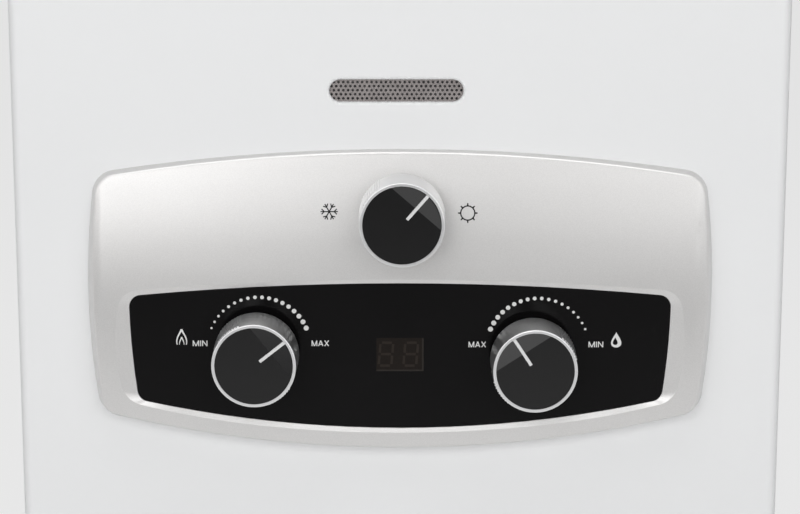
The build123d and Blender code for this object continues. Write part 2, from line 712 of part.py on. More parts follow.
# Lens, digit display and circuit board, one behind the other
with BuildPart() as display_lens:
    extrude(lens_outline(facing(LENS_SEAT), 0, 0, 0), amount=LENS_THICKNESS)
    fillet(display_lens.faces().sort_by(Axis.Y)[0].edges(), LENS_EDGE_ROUND)
    with BuildSketch(facing(LENS_SEAT)):
        with Locations(*hub_holes):
            Circle(HUB_HOLE_R)
    extrude(amount=LENS_THICKNESS, mode=Mode.SUBTRACT)

board_front = CASE_DEPTH - BOARD_SETBACK
with BuildPart() as digit_display:
    with BuildSketch(facing(board_front)):
        with Locations((0, DIGIT_Z)):
            Rectangle(DIGIT_WIDTH, DIGIT_HEIGHT)
    extrude(amount=LENS_SEAT - board_front)

with BuildPart() as display_board:
    with BuildSketch(facing(board_front - BOARD_SHEET)):
        with Locations((0, DIGIT_Z)):
            RectangleRounded(BOARD_WIDTH, BOARD_HEIGHT, BOARD_SHEET)
        with Locations(*board_posts):
            Circle(PANEL_SCREW_R + SCREW_HOLE_GAP, mode=Mode.SUBTRACT)
    extrude(amount=BOARD_SHEET)

# Screws from inside: four hold the bezel to the cover and two hold the board to the bezel
bezel_screw_plane = Plane(origin=at(0, INNER_FRONT, 0), x_dir=(-1, 0, 0), z_dir=(0, 1, 0))
board_screw_plane = Plane(origin=at(0, board_front - BOARD_SHEET, 0), x_dir=(-1, 0, 0), z_dir=(0, 1, 0))
panel_screws = pan_screws(
    [(bezel_screw_plane, panel_screw_points), (board_screw_plane, board_posts)],
    PANEL_SCREW_R,
    PANEL_SCREW_HEAD_R,
    PANEL_SCREW_HEAD,
    PANEL_SCREW_LENGTH,
)


def pointer_plane(axis, angle, depth):
    """Plane facing the front on a knob's axis, whose y runs along the knob's pointer."""
    turn = radians(angle)
    return Plane(origin=at(axis[0], depth, axis[1]), x_dir=(cos(turn), 0, -sin(turn)), z_dir=(0, -1, 0))


def rib_plane(axis, angle):
    """Plane across a knob's rib at its back end, leaning in with the skirt's taper."""
    turn = radians(angle)
    lean = (KNOB_R_BACK - KNOB_R_FRONT) / KNOB_LENGTH
    reach = KNOB_R_BACK - RIB_SINK - lean * RIB_END
    start = at(axis[0] + reach * sin(turn), KNOB_BACK + RIB_END, axis[1] + reach * cos(turn))
    along = (-lean * sin(turn), -1, -lean * cos(turn))
    return Plane(origin=start, x_dir=(cos(turn), 0, -sin(turn)), z_dir=along)


rib_step = RIB_SPAN / (RIB_COUNT - 1)
rib_turns = [side + (i - (RIB_COUNT - 1) / 2) * rib_step for side in (-90, 90) for i in range(RIB_COUNT)]


def knob_body(axis, angle):
    """Tapered metal skirt with two ribbed grips, a face pocket and a flatted hub bore."""
    web_back = SPINDLE_BORE_END
    with BuildPart() as body:
        with BuildSketch(pointer_plane(axis, angle, KNOB_BACK)):
            Circle(KNOB_R_BACK)
        with BuildSketch(pointer_plane(axis, angle, KNOB_FACE)):
            Circle(KNOB_R_FRONT)
        loft()
        fillet(body.faces().sort_by(Axis.Y)[0].edges(), KNOB_EDGE_ROUND)
        fillet(body.faces().sort_by(Axis.Y)[-1].edges(), KNOB_EDGE_ROUND)
        with BuildSketch(*[rib_plane(axis, angle + turn) for turn in rib_turns]):
            Circle(RIB_R)
        extrude(amount=KNOB_LENGTH - 2 * RIB_END)
        with BuildSketch(pointer_plane(axis, angle, KNOB_FACE - FACE_POCKET)):
            Circle(FACE_R + RUNNING_FIT)
        extrude(amount=FACE_POCKET, mode=Mode.SUBTRACT)
        with BuildSketch(pointer_plane(axis, angle, KNOB_BACK)):
            Circle(KNOB_R_FRONT - KNOB_WALL)
        extrude(amount=web_back - KNOB_BACK, mode=Mode.SUBTRACT)
        with BuildSketch(pointer_plane(axis, angle, KNOB_BACK - HUB_REACH)):
            Circle(HUB_R)
            Circle(SPINDLE_R + RUNNING_FIT, mode=Mode.SUBTRACT)
        extrude(amount=web_back - KNOB_BACK + HUB_REACH)
        with BuildSketch(pointer_plane(axis, angle, KNOB_BACK)):
            Circle(HUB_R)
            with Locations((0, SPINDLE_FLAT + RUNNING_FIT)):
                Rectangle(2 * HUB_R, HUB_R, align=(Align.CENTER, Align.MIN), mode=Mode.INTERSECT)
        extrude(amount=web_back - KNOB_BACK)
    return body


def knob_face(axis, angle):
    """Black face disc with a sloped facet on the pointer's side and a slot for the pointer."""
    top = KNOB_FACE - FACE_INSET
    turn = radians(angle)
    facet_plane = Plane(
        origin=at(axis[0], top, axis[1]), x_dir=(sin(turn), 0, cos(turn)), z_dir=(cos(turn), 0, -sin(turn))
    )
    facet_slope = FACET_DROP / (FACE_R - FACET_START)
    facet_reach = FACE_R + FACET_DROP
    with BuildPart() as face:
        with BuildSketch(pointer_plane(axis, angle, KNOB_FACE - FACE_POCKET)):
            Circle(FACE_R)
        extrude(amount=FACE_POCKET - FACE_INSET)
        with BuildSketch(facet_plane):
            with BuildLine():
                Polyline(
                    (FACET_START, 0),
                    (facet_reach, 0),
                    (facet_reach, -facet_slope * (facet_reach - FACET_START)),
                    close=True,
                )
            make_face()
        extrude(amount=2 * FACE_R, both=True, mode=Mode.SUBTRACT)
        with BuildSketch(pointer_plane(axis, angle, KNOB_FACE - FACE_INSET)):
            with Locations((0, POINTER_START - RUNNING_FIT)):
                Rectangle(POINTER_WIDTH + 2 * RUNNING_FIT, FACE_R, align=(Align.CENTER, Align.MIN))
        extrude(amount=-POINTER_DEPTH, mode=Mode.SUBTRACT)
    return face


def knob_pointer(axis, angle):
    """Pale bar let into the knob's face, level with the rim and as long as the face's edge allows."""
    with BuildPart() as pointer:
        with BuildSketch(pointer_plane(axis, angle, KNOB_FACE - FACE_INSET - POINTER_DEPTH)):
            with Locations((0, POINTER_START)):
                Rectangle(POINTER_WIDTH, FACE_R, align=(Align.CENTER, Align.MIN))
            Circle(FACE_R, mode=Mode.INTERSECT)
        extrude(amount=POINTER_DEPTH + FACE_INSET)
    return pointer


def plug_spindle(axis, angle, plug_r, plug_back, plug_front):
    """Valve plug with a cross port, turned in one with the flatted spindle that carries the knob."""
    with BuildPart() as spindle:
        with BuildSketch(pointer_plane(axis, angle, plug_back)):
            Circle(plug_r)
        extrude(amount=plug_front - plug_back)
        with BuildSketch(pointer_plane(axis, angle, plug_front)):
            Circle(SPINDLE_R)
        extrude(amount=SPINDLE_BORE_END - SPINDLE_END_GAP - plug_front)
        with BuildSketch(pointer_plane(axis, angle, KNOB_BACK - SPINDLE_END_GAP)):
            with Locations((0, SPINDLE_FLAT)):
                Rectangle(2 * SPINDLE_R, SPINDLE_R, align=(Align.CENTER, Align.MIN))
        extrude(amount=KNOB_LENGTH, mode=Mode.SUBTRACT)
        port_plane = Plane(origin=at(axis[0], (plug_back + plug_front) / 2, axis[1]), z_dir=(0, 0, 1))
        with BuildSketch(port_plane):
            Circle(PLUG_PORT_R)
        extrude(amount=plug_r, both=True, mode=Mode.SUBTRACT)
    return spindle


gas_axis = (GAS_X, GAS_Z)
water_axis = (WATER_X, WATER_Z)
selector_axis = (SELECTOR_X, SELECTOR_Z)
plug_back = VALVE_BACK + PLUG_END_GAP
plug_front = VALVE_FRONT - VALVE_FRONT_WALL - PLUG_END_GAP
section_plug_back = SECTION_BACK + PLUG_END_GAP
section_plug_front = SECTION_FRONT - SECTION_FRONT_WALL - PLUG_END_GAP
gas_knob = knob_body(gas_axis, GAS_POINTER)
gas_knob_face = knob_face(gas_axis, GAS_POINTER)
gas_knob_pointer = knob_pointer(gas_axis, GAS_POINTER)
gas_spindle = plug_spindle(gas_axis, GAS_POINTER, PLUG_R, plug_back, plug_front)
water_knob = knob_body(water_axis, WATER_POINTER)
water_knob_face = knob_face(water_axis, WATER_POINTER)
water_knob_pointer = knob_pointer(water_axis, WATER_POINTER)
water_spindle = plug_spindle(water_axis, WATER_POINTER, PLUG_R, plug_back, plug_front)
selector_knob = knob_body(selector_axis, SELECTOR_POINTER)
selector_knob_face = knob_face(selector_axis, SELECTOR_POINTER)
selector_knob_pointer = knob_pointer(selector_axis, SELECTOR_POINTER)
selector_spindle = plug_spindle(
    selector_axis, SELECTOR_POINTER, SECTION_PLUG_R, section_plug_back, section_plug_front
)

# Gas valve body: plug bore from behind, spindle neck in front, inlet below and outlet above
neck_front = CASE_DEPTH - NECK_SETBACK
with BuildPart() as gas_valve_body:
    with BuildSketch(facing(VALVE_BACK)):
        with Locations(gas_axis):
            RectangleRounded(GAS_BLOCK_WIDTH, GAS_BLOCK_HEIGHT, CAP_LIP)
    extrude(amount=VALVE_LENGTH)
    with BuildSketch(facing(VALVE_FRONT)):
        with Locations(gas_axis):
            Circle(NECK_R)
    extrude(amount=neck_front - VALVE_FRONT)
    with BuildSketch(facing(VALVE_BACK)):
        with Locations(gas_axis):
            Circle(PLUG_R + RUNNING_FIT)
    extrude(amount=VALVE_LENGTH - VALVE_FRONT_WALL, mode=Mode.SUBTRACT)
    with BuildSketch(facing(VALVE_BACK)):
        with Locations(gas_axis):
            Circle(SPINDLE_R + RUNNING_FIT)
    extrude(amount=neck_front - VALVE_BACK, mode=Mode.SUBTRACT)
    with BuildSketch(level(GAS_Z - GAS_BLOCK_HEIGHT / 2)):
        with Locations((GAS_X, -VALVE_MID)):
            Circle(PLUG_PORT_R)
    extrude(amount=GAS_BLOCK_HEIGHT / 2, mode=Mode.SUBTRACT)
    with BuildSketch(level(GAS_Z)):
        with Locations((GAS_X, -FEED_DEPTH)):
            Circle(FEED_R - PIPE_WALL)
    extrude(amount=GAS_BLOCK_HEIGHT / 2, mode=Mode.SUBTRACT)

# Water valve body, with one half of the diaphragm housing on its right side
water_side = WATER_X + WATER_BLOCK_WIDTH / 2
disc_axis = (-VALVE_MID, WATER_Z)
disc_screw_r = DISC_R - DISC_SCREW_INSET
diaphragm_x = water_side + DISC_THICKNESS
disc_cover_x = diaphragm_x + DIAPHRAGM_SHEET
gland_x = disc_cover_x + DISC_THICKNESS
with BuildPart() as water_valve_body:
    with BuildSketch(facing(VALVE_BACK)):
        with Locations(water_axis):
            RectangleRounded(WATER_BLOCK_WIDTH, WATER_BLOCK_HEIGHT, CAP_LIP)
    extrude(amount=VALVE_LENGTH)
    with BuildSketch(facing(VALVE_FRONT)):
        with Locations(water_axis):
            Circle(NECK_R)
    extrude(amount=neck_front - VALVE_FRONT)
    with BuildSketch(across(water_side)):
        with Locations(disc_axis):
            Circle(DISC_R)
    extrude(amount=DISC_THICKNESS)
    with BuildSketch(facing(VALVE_BACK)):
        with Locations(water_axis):
            Circle(PLUG_R + RUNNING_FIT)
    extrude(amount=VALVE_LENGTH - VALVE_FRONT_WALL, mode=Mode.SUBTRACT)
    with BuildSketch(facing(VALVE_BACK)):
        with Locations(water_axis):
            Circle(SPINDLE_R + RUNNING_FIT)
    extrude(amount=neck_front - VALVE_BACK, mode=Mode.SUBTRACT)
    with BuildSketch(level(WATER_Z - WATER_BLOCK_HEIGHT / 2)):
        with Locations((WATER_X, -VALVE_MID)):
            Circle(PLUG_PORT_R)
    extrude(amount=WATER_BLOCK_HEIGHT, mode=Mode.SUBTRACT)
    with BuildSketch(across(diaphragm_x)):
        with Locations(disc_axis):
            Circle(CHAMBER_BORE_R)
    extrude(amount=-CHAMBER_BORE_DEPTH, mode=Mode.SUBTRACT)
    with BuildSketch(across(diaphragm_x)):
        with Locations(disc_axis):
            with PolarLocations(disc_screw_r, DISC_SCREW_COUNT):
                Circle(PANEL_SCREW_R + RUNNING_FIT)
    extrude(amount=-DISC_THICKNESS, mode=Mode.SUBTRACT)

with BuildPart() as diaphragm:
    with BuildSketch(across(diaphragm_x)):
        with Locations(disc_axis):
            Circle(DISC_R)
            with PolarLocations(disc_screw_r, DISC_SCREW_COUNT):
                Circle(PANEL_SCREW_R + SCREW_HOLE_GAP, mode=Mode.SUBTRACT)
    extrude(amount=DIAPHRAGM_SHEET)

# Diaphragm cover with the push rod's gland and the arm that carries the microswitch
rod_plate_x = disc_cover_x + ROD_PLATE_GAP
rod_end_x = rod_plate_x + ROD_LENGTH
lever_x = rod_end_x + LEVER_GAP
microswitch_x = lever_x + MICROSWITCH_GAP
microswitch_end_x = microswitch_x + MICROSWITCH_WIDTH
arm_z = WATER_Z + DISC_R - ARM_SHEET
pivot_z = WATER_Z + LEVER_ARM
pivot_x = lever_x + LEVER_BARREL_R - LEVER_SHEET
switch_back = VALVE_MID - MICROSWITCH_DEPTH / 2
with BuildPart() as diaphragm_cover:
    with BuildSketch(across(disc_cover_x)):
        with Locations(disc_axis):
            Circle(DISC_R)
            with PolarLocations(disc_screw_r, DISC_SCREW_COUNT):
                Circle(PANEL_SCREW_R + SCREW_HOLE_GAP, mode=Mode.SUBTRACT)
    extrude(amount=DISC_THICKNESS)
    with BuildSketch(across(gland_x)):
        with Locations(disc_axis):
            Circle(GLAND_R)
    extrude(amount=GLAND_LENGTH)
    with BuildSketch(across(disc_cover_x)):
        with Locations(disc_axis):
            Circle(CHAMBER_BORE_R)
    extrude(amount=CHAMBER_BORE_DEPTH, mode=Mode.SUBTRACT)
    with BuildSketch(across(disc_cover_x)):
        with Locations(disc_axis):
            Circle(ROD_R + RUNNING_FIT)
    extrude(amount=DISC_THICKNESS + GLAND_LENGTH, mode=Mode.SUBTRACT)
    with BuildSketch(across(gland_x)):
        with Locations((-VALVE_MID, arm_z)):
            Rectangle(MICROSWITCH_DEPTH, ARM_SHEET, align=(Align.CENTER, Align.MIN))
    extrude(amount=microswitch_end_x - gland_x)

with BuildPart() as push_rod:
    with BuildSketch(across(rod_plate_x)):
        with Locations(disc_axis):
            Circle(ROD_PLATE_R)
    extrude(amount=ROD_PLATE)
    with BuildSketch(across(rod_plate_x)):
        with Locations(disc_axis):
            Circle(ROD_R)
    extrude(amount=ROD_LENGTH - ROD_TIP)
    with BuildSketch(across(rod_plate_x)):
        with Locations(disc_axis):
            Circle(ROD_TIP_R)
    extrude(amount=ROD_LENGTH)

disc_screw_angles = [radians(360 * i / DISC_SCREW_COUNT) for i in range(DISC_SCREW_COUNT)]
disc_screw_points = [
    (disc_axis[0] + disc_screw_r * cos(angle), disc_axis[1] + disc_screw_r * sin(angle))
    for angle in disc_screw_angles
]
disc_screws = pan_screws(
    [(across(gland_x), disc_screw_points)],
    PANEL_SCREW_R,
    PANEL_SCREW_HEAD_R,
    PANEL_SCREW_HEAD,
    DISC_THICKNESS + DIAPHRAGM_SHEET + DISC_THICKNESS / 2,
)

with BuildPart() as microswitch:
    with BuildSketch(facing(switch_back)):
        with Locations((microswitch_x, arm_z)):
            Rectangle(MICROSWITCH_WIDTH, MICROSWITCH_HEIGHT, align=(Align.MIN, Align.MAX))
    extrude(amount=MICROSWITCH_DEPTH)
    with BuildSketch(facing(switch_back)):
        with Locations((microswitch_x, pivot_z)):
            Rectangle(
                microswitch_x - pivot_x + LEVER_BARREL_R, 2 * LEVER_BARREL_R, align=(Align.MAX, Align.CENTER)
            )
    extrude(amount=EAR_SHEET)
    with BuildSketch(facing(switch_back)):
        with Locations((pivot_x, pivot_z)):
            Circle(LEVER_PIN_R)
    extrude(amount=MICROSWITCH_DEPTH)

with BuildPart() as microswitch_lever:
    with BuildSketch(facing(switch_back + EAR_SHEET + LEVER_GAP)):
        with Locations((pivot_x, pivot_z)):
            Circle(LEVER_BARREL_R)
        with Locations((lever_x, pivot_z)):
            Rectangle(LEVER_SHEET, LEVER_ARM + LEVER_TAIL, align=(Align.MIN, Align.MAX))
        with Locations((pivot_x, pivot_z)):
            Circle(LEVER_PIN_R + RUNNING_FIT, mode=Mode.SUBTRACT)
    extrude(amount=LEVER_WIDTH)

# Section valve behind the selector knob, which feeds the manifold from its top
section_neck_front = CASE_DEPTH - SECTION_NECK_SETBACK
with BuildPart() as section_valve_body:
    with BuildSketch(facing(SECTION_BACK)):
        with Locations(selector_axis):
            RectangleRounded(SECTION_WIDTH, SECTION_HEIGHT, CAP_LIP)
    extrude(amount=SECTION_LENGTH)
    with BuildSketch(facing(SECTION_FRONT)):
        with Locations(selector_axis):
            Circle(NECK_R)
    extrude(amount=section_neck_front - SECTION_FRONT)
    with BuildSketch(facing(SECTION_BACK)):
        with Locations(selector_axis):
            Circle(SECTION_PLUG_R + RUNNING_FIT)
    extrude(amount=SECTION_LENGTH - SECTION_FRONT_WALL, mode=Mode.SUBTRACT)
    with BuildSketch(facing(SECTION_BACK)):
        with Locations(selector_axis):
            Circle(SPINDLE_R + RUNNING_FIT)
    extrude(amount=section_neck_front - SECTION_BACK, mode=Mode.SUBTRACT)
    with BuildSketch(level(SELECTOR_Z)):
        with Locations((SELECTOR_X, -MANIFOLD_DEPTH)):
            Circle(RISER_BORE_R)
    extrude(amount=SECTION_HEIGHT / 2, mode=Mode.SUBTRACT)
    with BuildSketch(across(SELECTOR_X - SECTION_WIDTH / 2)):
        with Locations((-FEED_DEPTH, SELECTOR_Z)):
            Circle(FEED_R - PIPE_WALL)
    extrude(amount=SECTION_WIDTH / 2, mode=Mode.SUBTRACT)

# Caps that close the plug bores behind
with BuildPart() as valve_caps:
    with BuildSketch(facing(VALVE_BACK)):
        with Locations(gas_axis, water_axis):
            Circle(PLUG_R + CAP_LIP)
    extrude(amount=-CAP_THICKNESS)
    with BuildSketch(facing(SECTION_BACK)):
        with Locations(selector_axis):
            Circle(SECTION_PLUG_R + CAP_LIP)
    extrude(amount=-CAP_THICKNESS)

# Shut-off solenoid on the gas valve's left side, and its sliding plunger
gas_side = GAS_X - GAS_BLOCK_WIDTH / 2
solenoid_axis = (-VALVE_MID, GAS_Z)
plunger_back = gas_side - SOLENOID_LENGTH + SOLENOID_END + PLUNGER_END_GAP
with BuildPart() as gas_solenoid:
    with BuildSketch(across(gas_side)):
        with Locations(solenoid_axis):
            Circle(SOLENOID_R)
    extrude(amount=-SOLENOID_LENGTH)
    with BuildSketch(across(gas_side)):
        with Locations(solenoid_axis):
            Circle(PLUNGER_R + RUNNING_FIT)
    extrude(amount=SOLENOID_END - SOLENOID_LENGTH, mode=Mode.SUBTRACT)

with BuildPart() as solenoid_plunger:
    with BuildSketch(across(plunger_back)):
        with Locations(solenoid_axis):
            Circle(PLUNGER_R)
    extrude(amount=PLUNGER_LENGTH)


def nipple(x, top):
    """Pipe connection: a shank through the casing's floor, a hexagon under it and the pipe's seat."""
    with BuildPart() as fitting:
        with BuildSketch(level(NIPPLE_END)):
            with Locations((x, -VALVE_MID)):
                Circle(NIPPLE_R)
        extrude(amount=HEX_BOTTOM - NIPPLE_END)
        with BuildSketch(level(HEX_BOTTOM)):
            with Locations((x, -VALVE_MID)):
                RegularPolygon(HEX_R, 6)
        extrude(amount=HEX_HEIGHT)
        with BuildSketch(level(HEX_TOP)):
            with Locations((x, -VALVE_MID)):
                Circle(NIPPLE_SHANK_R)
        extrude(amount=top - HEX_TOP)
        with BuildSketch(level(NIPPLE_END)):
            with Locations((x, -VALVE_MID)):
                Circle(NIPPLE_BORE_R)
        extrude(amount=top - NIPPLE_END, mode=Mode.SUBTRACT)
    return fitting


hot_nipple_top = CASE_FLOOR + HOT_NIPPLE_RISE
gas_inlet_nipple = nipple(GAS_X, GAS_Z - GAS_BLOCK_HEIGHT / 2)
water_inlet_nipple = nipple(WATER_X, WATER_Z - WATER_BLOCK_HEIGHT / 2)
hot_outlet_nipple = nipple(HOT_X, hot_nipple_top)

gas_feed_pipe = pipe(
    [
        at(GAS_X, FEED_DEPTH, GAS_Z + GAS_BLOCK_HEIGHT / 2),
        at(GAS_X, FEED_DEPTH, SELECTOR_Z),
        at(SELECTOR_X - SECTION_WIDTH / 2, FEED_DEPTH, SELECTOR_Z),
    ],
    FEED_BEND,
    FEED_R,
    FEED_R - PIPE_WALL,
)

# Gas manifold: a closed cross tube on a riser from the section valve
manifold_half = BAR_X[-1] + MANIFOLD_OVERHANG
with BuildPart() as gas_manifold:
    with BuildSketch(across(-manifold_half)):
        with Locations((-MANIFOLD_DEPTH, MANIFOLD_Z)):
            Circle(MANIFOLD_R)
    extrude(amount=2 * manifold_half)
    with BuildSketch(level(SECTION_TOP)):
        with Locations((SELECTOR_X, -MANIFOLD_DEPTH)):
            Circle(RISER_R)
    extrude(amount=MANIFOLD_Z - SECTION_TOP)
    with BuildSketch(across(MANIFOLD_R - manifold_half)):
        with Locations((-MANIFOLD_DEPTH, MANIFOLD_Z)):
            Circle(MANIFOLD_BORE_R)
    extrude(amount=2 * (manifold_half - MANIFOLD_R), mode=Mode.SUBTRACT)
    with BuildSketch(level(SECTION_TOP)):
        with Locations((SELECTOR_X, -MANIFOLD_DEPTH)):
            Circle(RISER_BORE_R)
    extrude(amount=MANIFOLD_Z - SECTION_TOP, mode=Mode.SUBTRACT)
    with BuildSketch(facing(MANIFOLD_DEPTH)):
        with Locations(*[(x, MANIFOLD_Z) for x in BAR_X]):
            Circle(INJECTOR_R + RUNNING_FIT)
    extrude(amount=-MANIFOLD_R, mode=Mode.SUBTRACT)

# Injectors: shank in the manifold's wall, hexagon head and nozzle towards the burner
injector_seat = MANIFOLD_DEPTH - MANIFOLD_R
injector_tip = injector_seat - INJECTOR_HEAD - INJECTOR_NOZZLE
with BuildPart() as injectors:
    with BuildSketch(facing(injector_seat - INJECTOR_HEAD)):
        with Locations(*[(x, MANIFOLD_Z) for x in BAR_X]):
            RegularPolygon(INJECTOR_HEAD_R, 6)
    extrude(amount=INJECTOR_HEAD)
    with BuildSketch(facing(injector_tip)):
        with Locations(*[(x, MANIFOLD_Z) for x in BAR_X]):
            Circle(INJECTOR_R)
    extrude(amount=MANIFOLD_DEPTH - MANIFOLD_BORE_R - injector_tip)

# Burner frame: a tray under the chamber with a window for the injectors and two bar rails
rail_depths = [CHAMBER_BACK + BAR_INSET + RAIL_WIDTH / 2, CHAMBER_FRONT - BAR_INSET - RAIL_WIDTH / 2]
with BuildPart() as burner_frame:
    with BuildSketch(level(BURNER_Z)):
        with Locations((0, -CHAMBER_MID)):
            Rectangle(CHAMBER_WIDTH, CHAMBER_DEPTH)
            Rectangle(CHAMBER_WIDTH - 2 * BURNER_SHEET, CHAMBER_DEPTH - 2 * BURNER_SHEET, mode=Mode.SUBTRACT)
    extrude(amount=BURNER_HEIGHT)
    with BuildSketch(level(BURNER_Z)):
        with Locations(*[(0, -depth) for depth in rail_depths]):
            Rectangle(CHAMBER_WIDTH, RAIL_WIDTH)
    extrude(amount=RAIL_HEIGHT)
    with BuildSketch(facing(CHAMBER_FRONT - BURNER_SHEET)):
        with Locations((0, MANIFOLD_Z)):
            Rectangle(
                2 * BAR_X[-1] + 2 * (INJECTOR_HEAD_R + BURNER_WINDOW_MARGIN),
                2 * (INJECTOR_HEAD_R + BURNER_WINDOW_MARGIN),
            )
    extrude(amount=BURNER_SHEET, mode=Mode.SUBTRACT)

# Burner bars, each with its mixing inlet opposite an injector
bar_base = BURNER_Z + RAIL_HEIGHT
bar_height = BURNER_HEIGHT - RAIL_HEIGHT
bar_length = CHAMBER_DEPTH - 2 * BAR_INSET
bar_front = CHAMBER_FRONT - BAR_INSET
with BuildPart() as burner_bars:
    for x in BAR_X:
        with BuildSketch(across(x - BAR_THICKNESS / 2)):
            with Locations((-CHAMBER_MID, bar_base + bar_height / 2)):
                RectangleRounded(bar_length, bar_height, BAR_ROUND)
        extrude(amount=BAR_THICKNESS)
    with BuildSketch(facing(bar_front)):
        with Locations(*[(x, MANIFOLD_Z) for x in BAR_X]):
            Circle(BAR_INLET_R)
    extrude(amount=-BAR_INLET_DEPTH, mode=Mode.SUBTRACT)

# Combustion chamber: an open-ended copper box, pierced by the tube passes and the probes
tube_depths = [CHAMBER_MID + (i - (TUBE_PASSES - 1) / 2) * TUBE_PITCH for i in range(TUBE_PASSES)]
probe_x = (-BAR_PITCH, BAR_PITCH)
chamber_corner = PIPE_BEND - PIPE_R - WRAP_GAP
with BuildPart() as combustion_chamber:
    with BuildSketch(level(CHAMBER_Z)):
        with Locations((0, -CHAMBER_MID)):
            RectangleRounded(CHAMBER_WIDTH, CHAMBER_DEPTH, chamber_corner)
            RectangleRounded(
                CHAMBER_WIDTH - 2 * CHAMBER_SHEET,
                CHAMBER_DEPTH - 2 * CHAMBER_SHEET,
                chamber_corner - CHAMBER_SHEET,
                mode=Mode.SUBTRACT,
            )
    extrude(amount=HOOD_Z - CHAMBER_Z)
    with BuildSketch(across(0)):
        with Locations(*[(-depth, TUBE_Z) for depth in tube_depths]):
            Circle(TUBE_R + RUNNING_FIT)
    extrude(amount=CHAMBER_WIDTH, both=True, mode=Mode.SUBTRACT)
    with BuildSketch(facing(CHAMBER_FRONT - CHAMBER_SHEET)):
        with Locations(*[(x, PROBE_Z) for x in probe_x]):
            Circle(PROBE_R + PROBE_HOLE_GAP)
    extrude(amount=CHAMBER_SHEET, mode=Mode.SUBTRACT)

with BuildPart() as exchanger_fins:
    for i in range(FIN_COUNT):
        fin_x = (i - (FIN_COUNT - 1) / 2) * FIN_PITCH - FIN_SHEET / 2
        with BuildSketch(across(fin_x)):
            with Locations((-CHAMBER_MID, TUBE_Z)):
                Rectangle(CHAMBER_DEPTH - 2 * (CHAMBER_SHEET + FIN_GAP), FIN_HEIGHT)
            with Locations(*[(-depth, TUBE_Z) for depth in tube_depths]):
                Circle(TUBE_R + RUNNING_FIT, mode=Mode.SUBTRACT)
        extrude(amount=FIN_SHEET)

# Exchanger tube: passes through the fins with a return bend outside each wall
bend_x = CHAMBER_WIDTH / 2 + TUBE_OVERHANG + TUBE_PITCH / 2
tube_points = [at(TUBE_END, tube_depths[0], TUBE_Z)]
for i in range(TUBE_PASSES - 1):
    way = -1 if i % 2 == 0 else 1
    tube_points.append(at(way * bend_x, tube_depths[i], TUBE_Z))
    tube_points.append(at(way * bend_x, tube_depths[i + 1], TUBE_Z))
tube_points.append(at(-TUBE_END, tube_depths[-1], TUBE_Z))
exchanger_tube = pipe(tube_points, TUBE_PITCH / 2 - RUNNING_FIT, TUBE_R, TUBE_R - TUBE_WALL)

# Cold pipe: up from the water valve, once round the chamber and on to the exchanger
wrap_x = CHAMBER_WIDTH / 2 + WRAP_GAP + PIPE_R
wrap_front = CHAMBER_FRONT + WRAP_GAP + PIPE_R
wrap_back = CHAMBER_BACK - WRAP_GAP - PIPE_R
wrap_z = CHAMBER_Z + WRAP_RISE
wrap_climb = (TUBE_Z - 2 * PIPE_BEND - WRAP_TOP_ROOM - wrap_z) / 2
cold_run_z = WATER_Z + WATER_BLOCK_HEIGHT / 2 + COLD_RUN_RISE
cold_x = TUBE_END + PIPE_BEND + COLD_PIPE_MARGIN
cold_pipe = pipe(
    [
        at(WATER_X, VALVE_MID, WATER_Z + WATER_BLOCK_HEIGHT / 2),
        at(WATER_X, VALVE_MID, cold_run_z),
        at(wrap_x, VALVE_MID, cold_run_z),
        at(wrap_x, VALVE_MID, wrap_z),
        at(wrap_x, wrap_front, wrap_z),
        at(-wrap_x, wrap_front, wrap_z),
        at(-wrap_x, wrap_back, wrap_z),
        at(cold_x, wrap_back, wrap_z + wrap_climb),
        at(cold_x, tube_depths[0], wrap_z + 2 * wrap_climb),
        at(cold_x, tube_depths[0], TUBE_Z),
        at(TUBE_END, tube_depths[0], TUBE_Z),
    ],
    PIPE_BEND,
    PIPE_R,
    PIPE_R - PIPE_WALL,
)

# Hot pipe: down the left side to its connection
jog = tube_depths[-1] - VALVE_MID
hot_bend_z = hot_nipple_top + 2 * PIPE_BEND
hot_pipe = pipe(
    [
        at(-TUBE_END, tube_depths[-1], TUBE_Z),
        at(HOT_X, tube_depths[-1], TUBE_Z),
        at(HOT_X, tube_depths[-1], hot_bend_z + jog),
        at(HOT_X, VALVE_MID, hot_bend_z),
        at(HOT_X, VALVE_MID, hot_nipple_top),
    ],
    PIPE_BEND,
    PIPE_R,
    PIPE_R - PIPE_WALL,
)

# Union nuts over the exchanger's two ends
with BuildPart() as union_nuts:
    for x, depth in ((TUBE_END - UNION_LENGTH, tube_depths[0]), (-TUBE_END, tube_depths[-1])):
        with BuildSketch(across(x)):
            with Locations((-depth, TUBE_Z)):
                RegularPolygon(UNION_HEX_R, 6)
                Circle(TUBE_R + RUNNING_FIT, mode=Mode.SUBTRACT)
        extrude(amount=UNION_LENGTH)

